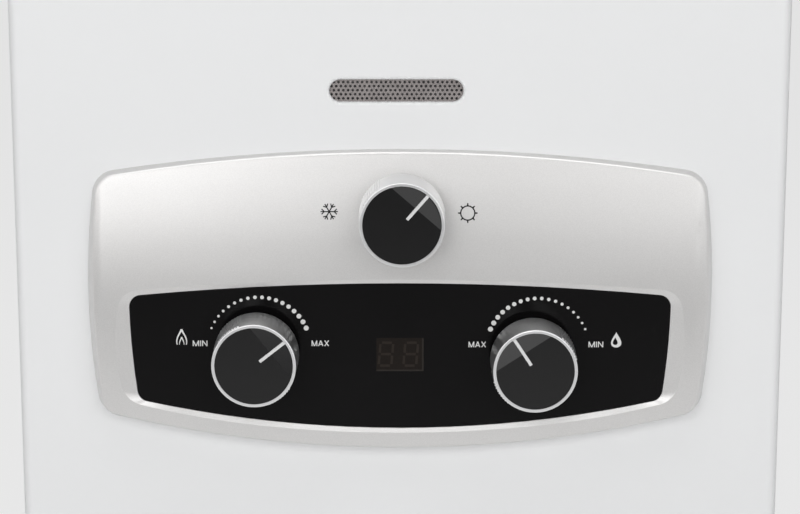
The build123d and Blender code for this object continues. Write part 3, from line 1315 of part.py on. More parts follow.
# Flue hood: a skirt over the chamber, tapered from its rectangle to the round neck
skirt_width = CHAMBER_WIDTH + 2 * (SHEET_GAP + HOOD_SHEET)
skirt_depth = CHAMBER_DEPTH + 2 * (SHEET_GAP + HOOD_SHEET)
collar_bore_r = FLUE_R - FLUE_SHEET
hood_neck_r = collar_bore_r - SLIP_FIT
collar_foot = CASE_TOP + FLUE_FLANGE_SHEET
neck_height = collar_foot + NECK_OVERLAP - HOOD_TOP
with BuildPart() as flue_hood:
    with BuildSketch(level(HOOD_Z)):
        with Locations((0, -CHAMBER_MID)):
            Rectangle(skirt_width, skirt_depth)
    with BuildSketch(level(HOOD_TOP)):
        with Locations((0, -CHAMBER_MID)):
            Circle(FLUE_R + FLUE_SHOULDER)
    loft()
    with BuildSketch(level(HOOD_Z)):
        with Locations((0, -CHAMBER_MID)):
            Rectangle(CHAMBER_WIDTH - 2 * CHAMBER_SHEET, CHAMBER_DEPTH - 2 * CHAMBER_SHEET)
    with BuildSketch(level(HOOD_TOP - HOOD_SHEET)):
        with Locations((0, -CHAMBER_MID)):
            Circle(hood_neck_r - HOOD_SHEET)
    loft(mode=Mode.SUBTRACT)
    with BuildSketch(level(SKIRT_Z)):
        with Locations((0, -CHAMBER_MID)):
            Rectangle(skirt_width, skirt_depth)
            Rectangle(skirt_width - 2 * HOOD_SHEET, skirt_depth - 2 * HOOD_SHEET, mode=Mode.SUBTRACT)
    extrude(amount=HOOD_SKIRT)
    with BuildSketch(level(HOOD_TOP)):
        with Locations((0, -CHAMBER_MID)):
            Circle(hood_neck_r)
    extrude(amount=neck_height)
    with BuildSketch(level(HOOD_TOP - HOOD_SHEET)):
        with Locations((0, -CHAMBER_MID)):
            Circle(hood_neck_r - HOOD_SHEET)
    extrude(amount=neck_height + HOOD_SHEET, mode=Mode.SUBTRACT)

# Flue collar: a tube that stands on its flange, round the hood's neck
with BuildPart() as flue_collar:
    with BuildSketch(level(collar_foot)):
        with Locations((0, -CHAMBER_MID)):
            Circle(FLUE_R)
            Circle(collar_bore_r, mode=Mode.SUBTRACT)
    extrude(amount=FLUE_REACH - FLUE_FLANGE_SHEET)

with BuildPart() as flue_flange:
    with BuildSketch(casing_end(CASE_TOP, 1)):
        with Locations((0, CHAMBER_MID)):
            Circle(FLUE_R + FLUE_FLANGE)
            Circle(collar_bore_r, mode=Mode.SUBTRACT)
        with Locations(*flue_screw_points):
            Circle(COVER_SCREW_R + SCREW_HOLE_GAP, mode=Mode.SUBTRACT)
    extrude(amount=FLUE_FLANGE_SHEET)


def flame_probe(x):
    """Ceramic probe through the chamber's front wall, with a seat collar and a bare tip."""
    with BuildPart() as probe:
        with BuildSketch(facing(CHAMBER_FRONT - PROBE_IN)):
            with Locations((x, PROBE_Z)):
                Circle(PROBE_R)
        extrude(amount=PROBE_IN + PROBE_OUT)
        with BuildSketch(facing(CHAMBER_FRONT)):
            with Locations((x, PROBE_Z)):
                Circle(PROBE_COLLAR_R)
        extrude(amount=PROBE_COLLAR)
        with BuildSketch(facing(CHAMBER_FRONT - PROBE_IN)):
            with Locations((x, PROBE_Z)):
                Circle(PROBE_TIP_R)
        extrude(amount=-PROBE_TIP)
    return probe


ignition_electrode = flame_probe(probe_x[0])
flame_sensor = flame_probe(probe_x[1])

switch_x = CHAMBER_WIDTH / 2 - SWITCH_SIDE_ROOM
with BuildPart() as overheat_switch:
    with BuildSketch(facing(CHAMBER_FRONT)):
        with Locations((switch_x, SKIRT_Z - SWITCH_DROP)):
            SlotOverall(SWITCH_EAR_WIDTH, SWITCH_EAR_HEIGHT)
    extrude(amount=SWITCH_EAR_SHEET)
    with BuildSketch(facing(CHAMBER_FRONT)):
        with Locations((switch_x, SKIRT_Z - SWITCH_DROP)):
            Circle(SWITCH_R)
    extrude(amount=SWITCH_HEIGHT)

# Pulse igniter box against the back plate, and the leads from it to the two probes
igniter_x = -CASE_WIDTH / 2 + COVER_SHEET + SHEET_GAP + PLATE_SHEET + IGNITER_SIDE_GAP + IGNITER_WIDTH / 2
igniter_front = PLATE_SHEET + IGNITER_DEPTH
with BuildPart() as igniter_box:
    with BuildSketch(facing(PLATE_SHEET)):
        with Locations((igniter_x, PROBE_Z)):
            RectangleRounded(IGNITER_WIDTH, IGNITER_HEIGHT, IGNITER_ROUND)
    extrude(amount=IGNITER_DEPTH)

lead_depth = INNER_FRONT - LEAD_COVER_GAP
lead_x = igniter_x - IGNITER_WIDTH / 4
ignition_lead = pipe(
    [
        at(probe_x[0], CHAMBER_FRONT + PROBE_OUT, PROBE_Z),
        at(probe_x[0], lead_depth, PROBE_Z),
        at(lead_x, lead_depth, PROBE_Z),
        at(lead_x, igniter_front, PROBE_Z),
    ],
    LEAD_BEND,
    LEAD_R,
    0,
)
sensor_lead = pipe(
    [
        at(probe_x[1], CHAMBER_FRONT + PROBE_OUT, PROBE_Z),
        at(probe_x[1], lead_depth, PROBE_Z),
        at(probe_x[1], lead_depth, PROBE_Z - LEAD_SPACING),
        at(lead_x, lead_depth, PROBE_Z - LEAD_SPACING),
        at(lead_x, igniter_front, PROBE_Z - LEAD_SPACING),
    ],
    SENSOR_LEAD_BEND,
    LEAD_R,
    0,
)
with BuildPart() as probe_leads:
    add(ignition_lead.part)
    add(sensor_lead.part)

# Battery box: open below, with a flange on the casing's floor and hinge ears at the rear
cell_points = [(side * CELL_SPACING / 2, -VALVE_MID) for side in (-1, 1)]
cell_base = LID_TOP + LID_PLUG_HEIGHT + CONTACT_SHEET
cell_top = cell_base + CELL_LENGTH + CELL_NUB
box_ceiling = cell_top + CONTACT_SHEET
ear_x = BATTERY_WIDTH / 2 - HINGE_EAR_WIDTH
with BuildPart() as battery_box:
    with BuildSketch(level(CASE_FLOOR)):
        with Locations((0, -VALVE_MID)):
            Rectangle(BATTERY_WIDTH, BATTERY_DEPTH)
    extrude(amount=box_ceiling + BATTERY_WALL - CASE_FLOOR)
    with BuildSketch(level(INNER_FLOOR)):
        with Locations((0, -VALVE_MID)):
            Rectangle(BATTERY_WIDTH + 2 * BATTERY_FLANGE, BATTERY_DEPTH + 2 * BATTERY_FLANGE)
    extrude(amount=BATTERY_FLANGE_SHEET)
    with BuildSketch(level(CASE_FLOOR)):
        with Locations((0, -VALVE_MID)):
            Rectangle(BATTERY_INNER_WIDTH, BATTERY_INNER_DEPTH)
    extrude(amount=box_ceiling - CASE_FLOOR, mode=Mode.SUBTRACT)
    for side in (-1, 1):
        with BuildSketch(across(side * (ear_x + HINGE_EAR_WIDTH / 2) - HINGE_EAR_WIDTH / 2)):
            with Locations((-HINGE_DEPTH, HINGE_Z)):
                Circle(HINGE_R)
            with Locations((-HINGE_DEPTH, HINGE_Z)):
                Rectangle(2 * HINGE_R, HINGE_DROP + BATTERY_WALL, align=(Align.CENTER, Align.MIN))
            with Locations((-HINGE_DEPTH, HINGE_Z)):
                Circle(HINGE_PIN_R + RUNNING_FIT, mode=Mode.SUBTRACT)
        extrude(amount=HINGE_EAR_WIDTH)

with BuildPart() as battery_hinge_pin:
    with BuildSketch(across(-BATTERY_WIDTH / 2)):
        with Locations((-HINGE_DEPTH, HINGE_Z)):
            Circle(HINGE_PIN_R)
    extrude(amount=BATTERY_WIDTH)

# Battery lid: a plate with a plug rim inside the box, a hinge knuckle and a finger lip
lid_rear = HINGE_DEPTH
lid_front = BATTERY_REAR + BATTERY_DEPTH + LID_LIP
plug_rear = HINGE_DEPTH + HINGE_R + LID_PLUG_GAP
plug_front_depth = BATTERY_REAR + BATTERY_DEPTH - BATTERY_WALL - LID_PLUG_GAP
knuckle_half = ear_x - HINGE_EAR_GAP
with BuildPart() as battery_lid:
    with BuildSketch(level(LID_TOP - LID_SHEET)):
        with Locations((0, -(lid_rear + lid_front) / 2)):
            Rectangle(2 * knuckle_half, lid_front - lid_rear)
        with Locations((0, -(lid_front + plug_rear) / 2)):
            Rectangle(BATTERY_WIDTH, lid_front - plug_rear)
    extrude(amount=LID_SHEET)
    with BuildSketch(across(-knuckle_half)):
        with Locations((-HINGE_DEPTH, HINGE_Z)):
            Circle(HINGE_R)
    extrude(amount=2 * knuckle_half)
    with BuildSketch(level(LID_TOP)):
        with Locations((0, -(plug_rear + plug_front_depth) / 2)):
            Rectangle(BATTERY_INNER_WIDTH - 2 * LID_PLUG_GAP, plug_front_depth - plug_rear)
            Rectangle(
                BATTERY_INNER_WIDTH - 2 * LID_PLUG_GAP - 2 * LID_PLUG_WALL,
                plug_front_depth - plug_rear - 2 * LID_PLUG_WALL,
                mode=Mode.SUBTRACT,
            )
    extrude(amount=LID_PLUG_HEIGHT)
    with BuildSketch(across(-knuckle_half)):
        with Locations((-HINGE_DEPTH, HINGE_Z)):
            Circle(HINGE_PIN_R + RUNNING_FIT)
    extrude(amount=2 * knuckle_half, mode=Mode.SUBTRACT)

with BuildPart() as batteries:
    with BuildSketch(level(cell_base)):
        with Locations(*cell_points):
            Circle(CELL_R)
    extrude(amount=CELL_LENGTH)
    with BuildSketch(level(cell_base)):
        with Locations(*cell_points):
            Circle(CELL_NUB_R)
    extrude(amount=CELL_LENGTH + CELL_NUB)

with BuildPart() as battery_contacts:
    with BuildSketch(level(cell_top)):
        with Locations(*cell_points):
            RectangleRounded(CONTACT_WIDTH, CONTACT_WIDTH, CONTACT_SHEET)
    extrude(amount=CONTACT_SHEET)

pieces = {
    "back_plate": back_plate,
    "front_cover": front_cover,
    "viewing_mesh": viewing_mesh,
    "cover_screws": cover_screws,
    "control_bezel": control_bezel,
    "panel_screws": panel_screws,
    "display_lens": display_lens,
    "digit_display": digit_display,
    "display_board": display_board,
    "gas_knob": gas_knob,
    "gas_knob_face": gas_knob_face,
    "gas_knob_pointer": gas_knob_pointer,
    "gas_spindle": gas_spindle,
    "water_knob": water_knob,
    "water_knob_face": water_knob_face,
    "water_knob_pointer": water_knob_pointer,
    "water_spindle": water_spindle,
    "selector_knob": selector_knob,
    "selector_knob_face": selector_knob_face,
    "selector_knob_pointer": selector_knob_pointer,
    "selector_spindle": selector_spindle,
    "gas_valve_body": gas_valve_body,
    "gas_solenoid": gas_solenoid,
    "solenoid_plunger": solenoid_plunger,
    "section_valve_body": section_valve_body,
    "water_valve_body": water_valve_body,
    "valve_caps": valve_caps,
    "diaphragm": diaphragm,
    "diaphragm_cover": diaphragm_cover,
    "disc_screws": disc_screws,
    "push_rod": push_rod,
    "microswitch": microswitch,
    "microswitch_lever": microswitch_lever,
    "gas_inlet_nipple": gas_inlet_nipple,
    "water_inlet_nipple": water_inlet_nipple,
    "hot_outlet_nipple": hot_outlet_nipple,
    "gas_feed_pipe": gas_feed_pipe,
    "gas_manifold": gas_manifold,
    "injectors": injectors,
    "burner_frame": burner_frame,
    "burner_bars": burner_bars,
    "ignition_electrode": ignition_electrode,
    "flame_sensor": flame_sensor,
    "combustion_chamber": combustion_chamber,
    "exchanger_fins": exchanger_fins,
    "exchanger_tube": exchanger_tube,
    "union_nuts": union_nuts,
    "cold_pipe": cold_pipe,
    "hot_pipe": hot_pipe,
    "overheat_switch": overheat_switch,
    "flue_hood": flue_hood,
    "flue_collar": flue_collar,
    "flue_flange": flue_flange,
    "igniter_box": igniter_box,
    "probe_leads": probe_leads,
    "battery_box": battery_box,
    "battery_lid": battery_lid,
    "battery_hinge_pin": battery_hinge_pin,
    "batteries": batteries,
    "battery_contacts": battery_contacts,
}

for name, piece in pieces.items():
    piece.part.label = name
    export_step(piece.part, f"parts/{name}.step")
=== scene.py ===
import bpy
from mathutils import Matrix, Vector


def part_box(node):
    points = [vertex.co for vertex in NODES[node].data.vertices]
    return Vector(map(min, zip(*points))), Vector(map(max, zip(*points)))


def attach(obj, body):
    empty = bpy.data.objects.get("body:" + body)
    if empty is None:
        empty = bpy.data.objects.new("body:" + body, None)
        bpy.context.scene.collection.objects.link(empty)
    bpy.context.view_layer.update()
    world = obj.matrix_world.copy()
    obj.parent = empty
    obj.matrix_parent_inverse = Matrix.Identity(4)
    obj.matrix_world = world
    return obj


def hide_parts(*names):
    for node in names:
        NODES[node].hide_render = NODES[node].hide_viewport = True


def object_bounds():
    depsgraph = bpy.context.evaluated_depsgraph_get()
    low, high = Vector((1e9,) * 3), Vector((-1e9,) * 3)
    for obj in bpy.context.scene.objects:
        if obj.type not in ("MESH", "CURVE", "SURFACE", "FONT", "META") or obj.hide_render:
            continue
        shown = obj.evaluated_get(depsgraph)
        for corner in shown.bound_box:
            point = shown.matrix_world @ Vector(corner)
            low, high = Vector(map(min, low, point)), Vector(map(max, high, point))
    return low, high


bl_info = {
    "name": "Gas water heater dressing",
    "version": (1, 0, 0),
    "blender": (4, 5, 0),
    "location": "View3D > Sidebar > Heater",
    "description": "Finishes, printed marks, threads and the studio stage of a wall-hung gas water heater",
    "category": "Object",
}

import math

import bpy
import numpy as np
from mathutils import Vector

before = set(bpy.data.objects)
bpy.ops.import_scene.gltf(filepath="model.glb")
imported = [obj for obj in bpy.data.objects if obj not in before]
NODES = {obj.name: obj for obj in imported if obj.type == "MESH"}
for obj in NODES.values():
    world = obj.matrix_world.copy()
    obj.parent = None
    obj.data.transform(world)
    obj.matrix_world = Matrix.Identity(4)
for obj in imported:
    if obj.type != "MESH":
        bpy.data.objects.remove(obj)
CAD_LOW, CAD_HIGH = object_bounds()
BEZEL_LOW, BEZEL_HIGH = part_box("control_bezel")
LENS_LOW, LENS_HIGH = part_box("display_lens")
PANEL_RISE = 0.0469  # from the level that the marks are placed by to the bezel's top edge
PANEL_LEVEL = BEZEL_HIGH.z - PANEL_RISE
BEZEL_RADIUS = 0.44  # of the crown that its marks lie on
LENS_GLOSS = 0.09  # specular level of the lens and of the display behind it
INK_STEP = 2e-7  # height between marks that cross
PHOTO_WIDTH = 800.0  # pixels
NIPPLES = ("gas_inlet_nipple", "water_inlet_nipple", "hot_outlet_nipple")


# Settings


def tint_setting(name, description, default):
    """Colour of a finish."""
    return bpy.props.FloatVectorProperty(
        name=name, description=description, subtype="COLOR", size=3, default=default, min=0.0, max=1.0)


def length_setting(name, description, default):
    """Length in metres."""
    return bpy.props.FloatProperty(name=name, description=description, unit="LENGTH", default=default)


def angle_setting(name, description, degrees):
    """Angle, given in degrees."""
    return bpy.props.FloatProperty(
        name=name, description=description, subtype="ANGLE", default=math.radians(degrees))


def power_setting(name, description, default):
    """Power of a lamp in watts."""
    return bpy.props.FloatProperty(name=name, description=description, unit="POWER", default=default)


def number_setting(name, description, default):
    """Number without a unit."""
    return bpy.props.FloatProperty(name=name, description=description, default=default)


class HeaterFinishes(bpy.types.PropertyGroup):
    """Colours of the heater's own pieces"""

    cover_paint: tint_setting("Cover paint", "White enamel of the front cover", (0.855, 0.86, 0.865))
    bezel_paint: tint_setting("Bezel paint", "Silver lacquer of the control bezel", (0.68, 0.672, 0.665))
    knob_plating: tint_setting("Knob plating", "Satin plating of the knob skirts", (0.78, 0.78, 0.785))
    lens_black: tint_setting("Lens black", "Black of the display lens", (0.0045, 0.0042, 0.0044))
    face_black: tint_setting("Knob face black", "Black of the knob faces", (0.0035, 0.0033, 0.0035))
    print_white: tint_setting("White print", "Ink of the marks on the lens", (0.72, 0.72, 0.71))
    print_black: tint_setting("Black print", "Ink of the marks on the bezel", (0.008, 0.008, 0.008))
    brass: tint_setting("Brass", "Valve bodies and connections", (0.66, 0.47, 0.2))
    copper: tint_setting("Copper", "Pipes, chamber and fins", (0.72, 0.36, 0.22))
    zinc: tint_setting("Zinc", "Coated sheet of the back plate and the hood", (0.52, 0.53, 0.54))


class HeaterPrints(bpy.types.PropertyGroup):
    """Sizes of the printed marks and of the pipe threads"""

    lift: length_setting("Ink lift", "Height of the ink above its surface", 0.00004)
    dial_radius: length_setting("Dial radius", "Radius of the arc of dots", 0.0219)
    dial_reach: angle_setting("Dial reach", "Angle of the last dot from the top", 67.4)
    dot_count: bpy.props.IntProperty(name="Dots", description="Dots on each dial", default=18, min=2)
    dot_small: length_setting("Smallest dot", "Diameter of the first dot", 0.001)
    dot_large: length_setting("Largest dot", "Diameter of the last dot", 0.0022)
    letter_height: length_setting("Letter height", "Height of the capitals", 0.00245)
    letter_stroke: length_setting("Letter stroke", "Width of the letters' strokes", 0.00042)
    icon_stroke: length_setting("Icon stroke", "Width of the snowflake's strokes", 0.00048)
    digit_height: length_setting("Digit height", "Height of the unlit digits", 0.0101)
    digit_slant: angle_setting("Digit slant", "Lean of the digits to the right", 5.0)
    thread_pitch: length_setting("Thread pitch", "Pitch of the pipe threads", 0.001814)
    thread_depth: length_setting("Thread depth", "Depth of the pipe threads", 0.00116)


class HeaterStage(bpy.types.PropertyGroup):
    """Camera and light of the studio"""

    camera_distance: length_setting("Camera distance", "From the lens to the panel", 1.0)
    camera_pitch: angle_setting("Camera pitch", "How far the camera looks down", 11.7)
    focal_pixels: number_setting("Focal length", "In pixels of the 800 pixel wide picture", 2333.0)
    key_power: power_setting("Key light", "Soft light on the upper left", 5.8)
    fill_power: power_setting("Fill light", "Soft light on the right", 3.15)
    wing_power: power_setting("Wings", "Dim soft light at each side", 3.4)
    front_power: power_setting("Front light", "Even soft light that shows in no reflection", 8.5)
    top_power: power_setting("Top light", "Soft light overhead", 8.0)
    front_white: number_setting("Front", "Brightness in reflections of the room in front of the heater", 0.08)
    ambient: number_setting("Ambient", "Even light from all round", 0.18)


# Shader node groups


GROUP_OUTPUTS = (("Colour", "Color"), ("Roughness", "Float"), ("Height", "Float"))


def new_group(name, inputs):
    """Shader group with the shared outputs: returns its tree, its inputs by name and the Object coordinates.

    Each input is (socket name, kind, default), with kind Float, Color or Vector."""
    tree = bpy.data.node_groups.new(name, "ShaderNodeTree")
    for label, kind, default in inputs:
        socket = tree.interface.new_socket(label, in_out="INPUT", socket_type="NodeSocket" + kind)
        socket.default_value = default
    for label, kind in GROUP_OUTPUTS:
        tree.interface.new_socket(label, in_out="OUTPUT", socket_type="NodeSocket" + kind)
    given = tree.nodes.new("NodeGroupInput").outputs
    place = tree.nodes.new("ShaderNodeTexCoord").outputs["Object"]
    return tree, given, place


def end_group(tree, *results):
    """Links the colour, the roughness and the height to the group's outputs."""
    leave = tree.nodes.new("NodeGroupOutput")
    for (label, _), result in zip(GROUP_OUTPUTS, results):
        tree.links.new(result, leave.inputs[label])


def feed(tree, value, socket):
    """Links a socket to an input, or sets the input to a number."""
    if isinstance(value, (int, float)):
        socket.default_value = value
    else:
        tree.links.new(value, socket)


def math_node(tree, operation, first, second):
    """Result of a Math node; each operand is a socket or a number."""
    node = tree.nodes.new("ShaderNodeMath")
    node.operation = operation
    feed(tree, first, node.inputs[0])
    feed(tree, second, node.inputs[1])
    return node.outputs[0]


def mean_node(tree, first, second, share):
    """First value times its share, plus the second times the rest."""
    part = math_node(tree, "MULTIPLY", first, share)
    rest = math_node(tree, "MULTIPLY", second, 1.0 - share)
    return math_node(tree, "ADD", part, rest)


def span_node(tree, value, low, high):
    """Maps a value from 0..1 to low..high; each bound is a socket or a number."""
    node = tree.nodes.new("ShaderNodeMapRange")
    tree.links.new(value, node.inputs["Value"])
    feed(tree, low, node.inputs["To Min"])
    feed(tree, high, node.inputs["To Max"])
    return node.outputs["Result"]


def noise_node(tree, vector, scale, detail, roughness=0.55):
    """Noise value on a vector; scale is a socket or a number."""
    node = tree.nodes.new("ShaderNodeTexNoise")
    tree.links.new(vector, node.inputs["Vector"])
    feed(tree, scale, node.inputs["Scale"])
    node.inputs["Detail"].default_value = detail
    node.inputs["Roughness"].default_value = roughness
    return node.outputs["Fac"]


def shaded(tree, colour, value, depth):
    """Colour times a grey that goes from 1 - depth to 1 + depth as a value goes from 0 to 1."""
    low = math_node(tree, "SUBTRACT", 1.0, depth)
    high = math_node(tree, "ADD", 1.0, depth)
    node = tree.nodes.new("ShaderNodeMix")
    node.data_type = "RGBA"
    node.blend_type = "MULTIPLY"
    node.inputs["Factor"].default_value = 1.0
    tree.links.new(colour, node.inputs["A"])
    tree.links.new(span_node(tree, value, low, high), node.inputs["B"])
    return node.outputs["Result"]


def make_surface_grain():
    """Group: cloudy shade, roughness drift and fine height of a moulded, painted or cast surface."""
    tree, given, place = new_group(
        "surface_grain",
        [("Colour", "Color", (0.8, 0.8, 0.8, 1.0)), ("Cloud Scale", "Float", 12.0),
         ("Cloud Depth", "Float", 0.04), ("Grain Scale", "Float", 900.0), ("Rough Low", "Float", 0.3),
         ("Rough High", "Float", 0.4)])
    cloud = noise_node(tree, place, given["Cloud Scale"], 4.0)
    grain = noise_node(tree, place, given["Grain Scale"], 2.0)
    colour = shaded(tree, given["Colour"], cloud, given["Cloud Depth"])
    drift = mean_node(tree, cloud, grain, 0.5)
    end_group(tree, colour, span_node(tree, drift, given["Rough Low"], given["Rough High"]), grain)


def make_drawn_lines():
    """Group: fine drawn or brushed lines, from noise on Object coordinates times a stretch.

    The lines run along the axis where the stretch is small."""
    tree, given, place = new_group(
        "drawn_lines",
        [("Colour", "Color", (0.6, 0.6, 0.6, 1.0)), ("Stretch", "Vector", (40.0, 40.0, 2500.0)),
         ("Depth", "Float", 0.08), ("Rough Low", "Float", 0.25), ("Rough High", "Float", 0.42)])
    stretched = tree.nodes.new("ShaderNodeVectorMath")
    stretched.operation = "MULTIPLY"
    tree.links.new(place, stretched.inputs[0])
    tree.links.new(given["Stretch"], stretched.inputs[1])
    lines = noise_node(tree, stretched.outputs["Vector"], 1.0, 3.0)
    cloud = noise_node(tree, place, 30.0, 3.0)
    colour = shaded(tree, given["Colour"], mean_node(tree, lines, cloud, 0.65), given["Depth"])
    end_group(tree, colour, span_node(tree, lines, given["Rough Low"], given["Rough High"]), lines)


def make_metal_flake():
    """Group: silver lacquer. Tiny cells of random brightness over a slow cloud give the flake's sparkle."""
    tree, given, place = new_group(
        "metal_flake",
        [("Colour", "Color", (0.6, 0.6, 0.6, 1.0)), ("Flake Scale", "Float", 4200.0),
         ("Depth", "Float", 0.06), ("Rough Low", "Float", 0.36), ("Rough High", "Float", 0.46)])
    cells = tree.nodes.new("ShaderNodeTexVoronoi")
    tree.links.new(place, cells.inputs["Vector"])
    tree.links.new(given["Flake Scale"], cells.inputs["Scale"])
    split = tree.nodes.new("ShaderNodeSeparateColor")
    tree.links.new(cells.outputs["Color"], split.inputs["Color"])
    flake = split.outputs["Red"]
    cloud = noise_node(tree, place, 25.0, 3.0)
    colour = shaded(tree, given["Colour"], flake, given["Depth"])
    mixed = mean_node(tree, flake, cloud, 0.5)
    end_group(tree, colour, span_node(tree, mixed, given["Rough Low"], given["Rough High"]), flake)


def make_heat_tint():
    """Group: tarnish of copper and steel near the fire. A patchy mask mixes the clean colour with it."""
    tree, given, place = new_group(
        "heat_tint",
        [("Colour", "Color", (0.7, 0.4, 0.3, 1.0)), ("Tarnish", "Color", (0.3, 0.12, 0.1, 1.0)),
         ("Patch Scale", "Float", 30.0), ("Rough Low", "Float", 0.22), ("Rough High", "Float", 0.45)])
    patch = noise_node(tree, place, given["Patch Scale"], 5.0, 0.6)
    fine = noise_node(tree, place, 700.0, 2.0)
    mask = tree.nodes.new("ShaderNodeMapRange")
    for label, value in (("From Min", 0.48), ("From Max", 0.74), ("To Max", 0.7)):
        mask.inputs[label].default_value = value
    tree.links.new(patch, mask.inputs["Value"])
    mixed = tree.nodes.new("ShaderNodeMix")
    mixed.data_type = "RGBA"
    tree.links.new(mask.outputs["Result"], mixed.inputs["Factor"])
    tree.links.new(given["Colour"], mixed.inputs["A"])
    tree.links.new(given["Tarnish"], mixed.inputs["B"])
    rough = span_node(tree, patch, given["Rough Low"], given["Rough High"])
    end_group(tree, mixed.outputs["Result"], rough, fine)


GROUP_MAKERS = {
    "surface_grain": make_surface_grain,
    "drawn_lines": make_drawn_lines,
    "metal_flake": make_metal_flake,
    "heat_tint": make_heat_tint,
}


def shared_group(name):
    """The shader group of this name, made the first time it is asked for."""
    if name not in bpy.data.node_groups:
        GROUP_MAKERS[name]()
    return bpy.data.node_groups[name]


# Materials


def finish(name, group, values, bump=0.0, bump_size=0.0002, **shader_values):
    """Principled material whose colour, roughness and bump come from one shared group.

    values sets the group's inputs; shader_values sets the shader's sockets, with spaces as underscores."""
    if name in bpy.data.materials:
        return bpy.data.materials[name]
    material = bpy.data.materials.new(name)
    material.use_nodes = True
    tree = material.node_tree
    shader = tree.nodes["Principled BSDF"]
    effect = tree.nodes.new("ShaderNodeGroup")
    effect.node_tree = shared_group(group)
    for label, value in values.items():
        socket = effect.inputs[label]
        socket.default_value = (*value, 1.0) if socket.type == "RGBA" else value
    tree.links.new(effect.outputs["Colour"], shader.inputs["Base Color"])
    tree.links.new(effect.outputs["Roughness"], shader.inputs["Roughness"])
    if bump > 0.0:
        relief = tree.nodes.new("ShaderNodeBump")
        relief.inputs["Strength"].default_value = bump
        relief.inputs["Distance"].default_value = bump_size
        tree.links.new(effect.outputs["Height"], relief.inputs["Height"])
        tree.links.new(relief.outputs["Normal"], shader.inputs["Normal"])
    for label, value in shader_values.items():
        shader.inputs[label.replace("_", " ")].default_value = value
    return material


def dress(material, *names):
    """Puts one material on every slot of the named CAD nodes."""
    for name in names:
        mesh = NODES[name].data
        mesh.materials.clear()
        mesh.materials.append(material)


# Surfaces


def add_piece(name, points, faces, body, material, smooth=False):
    """Mesh object at the origin from arrays of points and faces, riding on a body."""
    mesh = bpy.data.meshes.new(name)
    mesh.from_pydata(points.tolist(), [], faces.tolist())
    mesh.validate()
    mesh.polygons.foreach_set("use_smooth", np.broadcast_to(smooth, len(mesh.polygons)).astype(bool))
    mesh.materials.append(material)
    mesh.update()
    piece = bpy.data.objects.new(name, mesh)
    bpy.context.scene.collection.objects.link(piece)
    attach(piece, body)
    return piece


def grid_faces(rows, columns, close_columns=False):
    """Quads of a grid of points, row after row; closing joins the last column to the first."""
    across = columns if close_columns else columns - 1
    row, column = np.meshgrid(np.arange(rows - 1), np.arange(across), indexing="ij")
    start = row * columns + column
    right = row * columns + (column + 1) % columns
    return np.stack([start, right, right + columns, start + columns], axis=-1).reshape(-1, 4)


def gather(parts):
    """Joins (points, faces) pairs into one pair, shifting the face numbers."""
    offsets = np.cumsum([0] + [len(points) for points, _ in parts[:-1]])
    points = np.concatenate([points for points, _ in parts])
    faces = np.concatenate([faces + offset for (_, faces), offset in zip(parts, offsets)])
    return points, faces


def stroke(line, width, taper=1.0):
    """Flat strip along a line of (x, z) points: each is moved half the width to both sides of its tangent.

    taper is the end's width over the start's."""
    line = np.asarray(line, float)
    tangent = np.gradient(line, axis=0)
    tangent /= np.linalg.norm(tangent, axis=1, keepdims=True)
    side = np.stack([-tangent[:, 1], tangent[:, 0]], axis=1)
    half = (width / 2 * np.linspace(1.0, taper, len(line)))[:, None]
    flat = np.stack([line - side * half, line + side * half], axis=1).reshape(-1, 2)
    return flat, grid_faces(len(line), 2)


def band(outer, inner):
    """Flat ring between two closed outlines with the same number of (x, z) points."""
    flat = np.concatenate([inner, outer])
    return flat, grid_faces(2, len(outer), close_columns=True)


def circle(count):
    """Points of a unit circle: (cos a, sin a)."""
    angle = np.linspace(0.0, 2 * math.pi, count, endpoint=False)
    return np.stack([np.cos(angle), np.sin(angle)], axis=1)


def disc(centre, radius):
    """Flat round dot as a ring round a tiny inner circle: centre + r (cos a, sin a)."""
    outer = circle(28) * radius
    eye = 0.02
    return band(centre + outer, centre + outer * eye)


def on_surface(parts, depth_at, lift):
    """Stands flat (x, z) marks on a front surface y = depth_at(x, z), each a hair above the last."""
    seated = []
    for index, (flat, faces) in enumerate(parts):
        y = depth_at(flat[:, 0], flat[:, 1]) - lift - INK_STEP * index
        points = np.stack([flat[:, 0], y, flat[:, 1]], axis=1)
        corner = points[faces[0]]
        facing = np.cross(corner[1] - corner[0], corner[2] - corner[0])[1]
        seated.append((points, faces if facing < 0 else faces[:, ::-1]))
    return gather(seated)


def add_print(name, parts, surface, lift, ink):
    """Flat marks of one ink on a front surface of the casing."""
    points, faces = on_surface(parts, surface, lift)
    add_piece(name, points, faces, "casing", ink)


def lens_front(x, z):
    """The lens is flat: y is its front face."""
    return np.full_like(x, LENS_LOW.y)


def bezel_front(x, z):
    """The bezel is a cylinder about a level axis: y = front + r - sqrt(r^2 - (z - middle)^2)."""
    rise = z - (LENS_LOW.z + LENS_HIGH.z) / 2
    return BEZEL_LOW.y + BEZEL_RADIUS - np.sqrt(BEZEL_RADIUS ** 2 - rise ** 2)


LETTERS = {
    "M": [[(0.0, 0.0), (0.0, 1.0)], [(0.0, 1.0), (0.42, 0.0)], [(0.42, 0.0), (0.84, 1.0)],
          [(0.84, 1.0), (0.84, 0.0)]],
    "I": [[(0.0, 0.0), (0.0, 1.0)]],
    "N": [[(0.0, 0.0), (0.0, 1.0)], [(0.0, 1.0), (0.68, 0.0)], [(0.68, 0.0), (0.68, 1.0)]],
    "A": [[(0.0, 0.0), (0.38, 1.0)], [(0.38, 1.0), (0.76, 0.0)], [(0.14, 0.32), (0.62, 0.32)]],
    "X": [[(0.0, 0.0), (0.7, 1.0)], [(0.0, 1.0), (0.7, 0.0)]],
}
LETTER_WIDTH = {"M": 0.84, "I": 0.0, "N": 0.68, "A": 0.76, "X": 0.7}


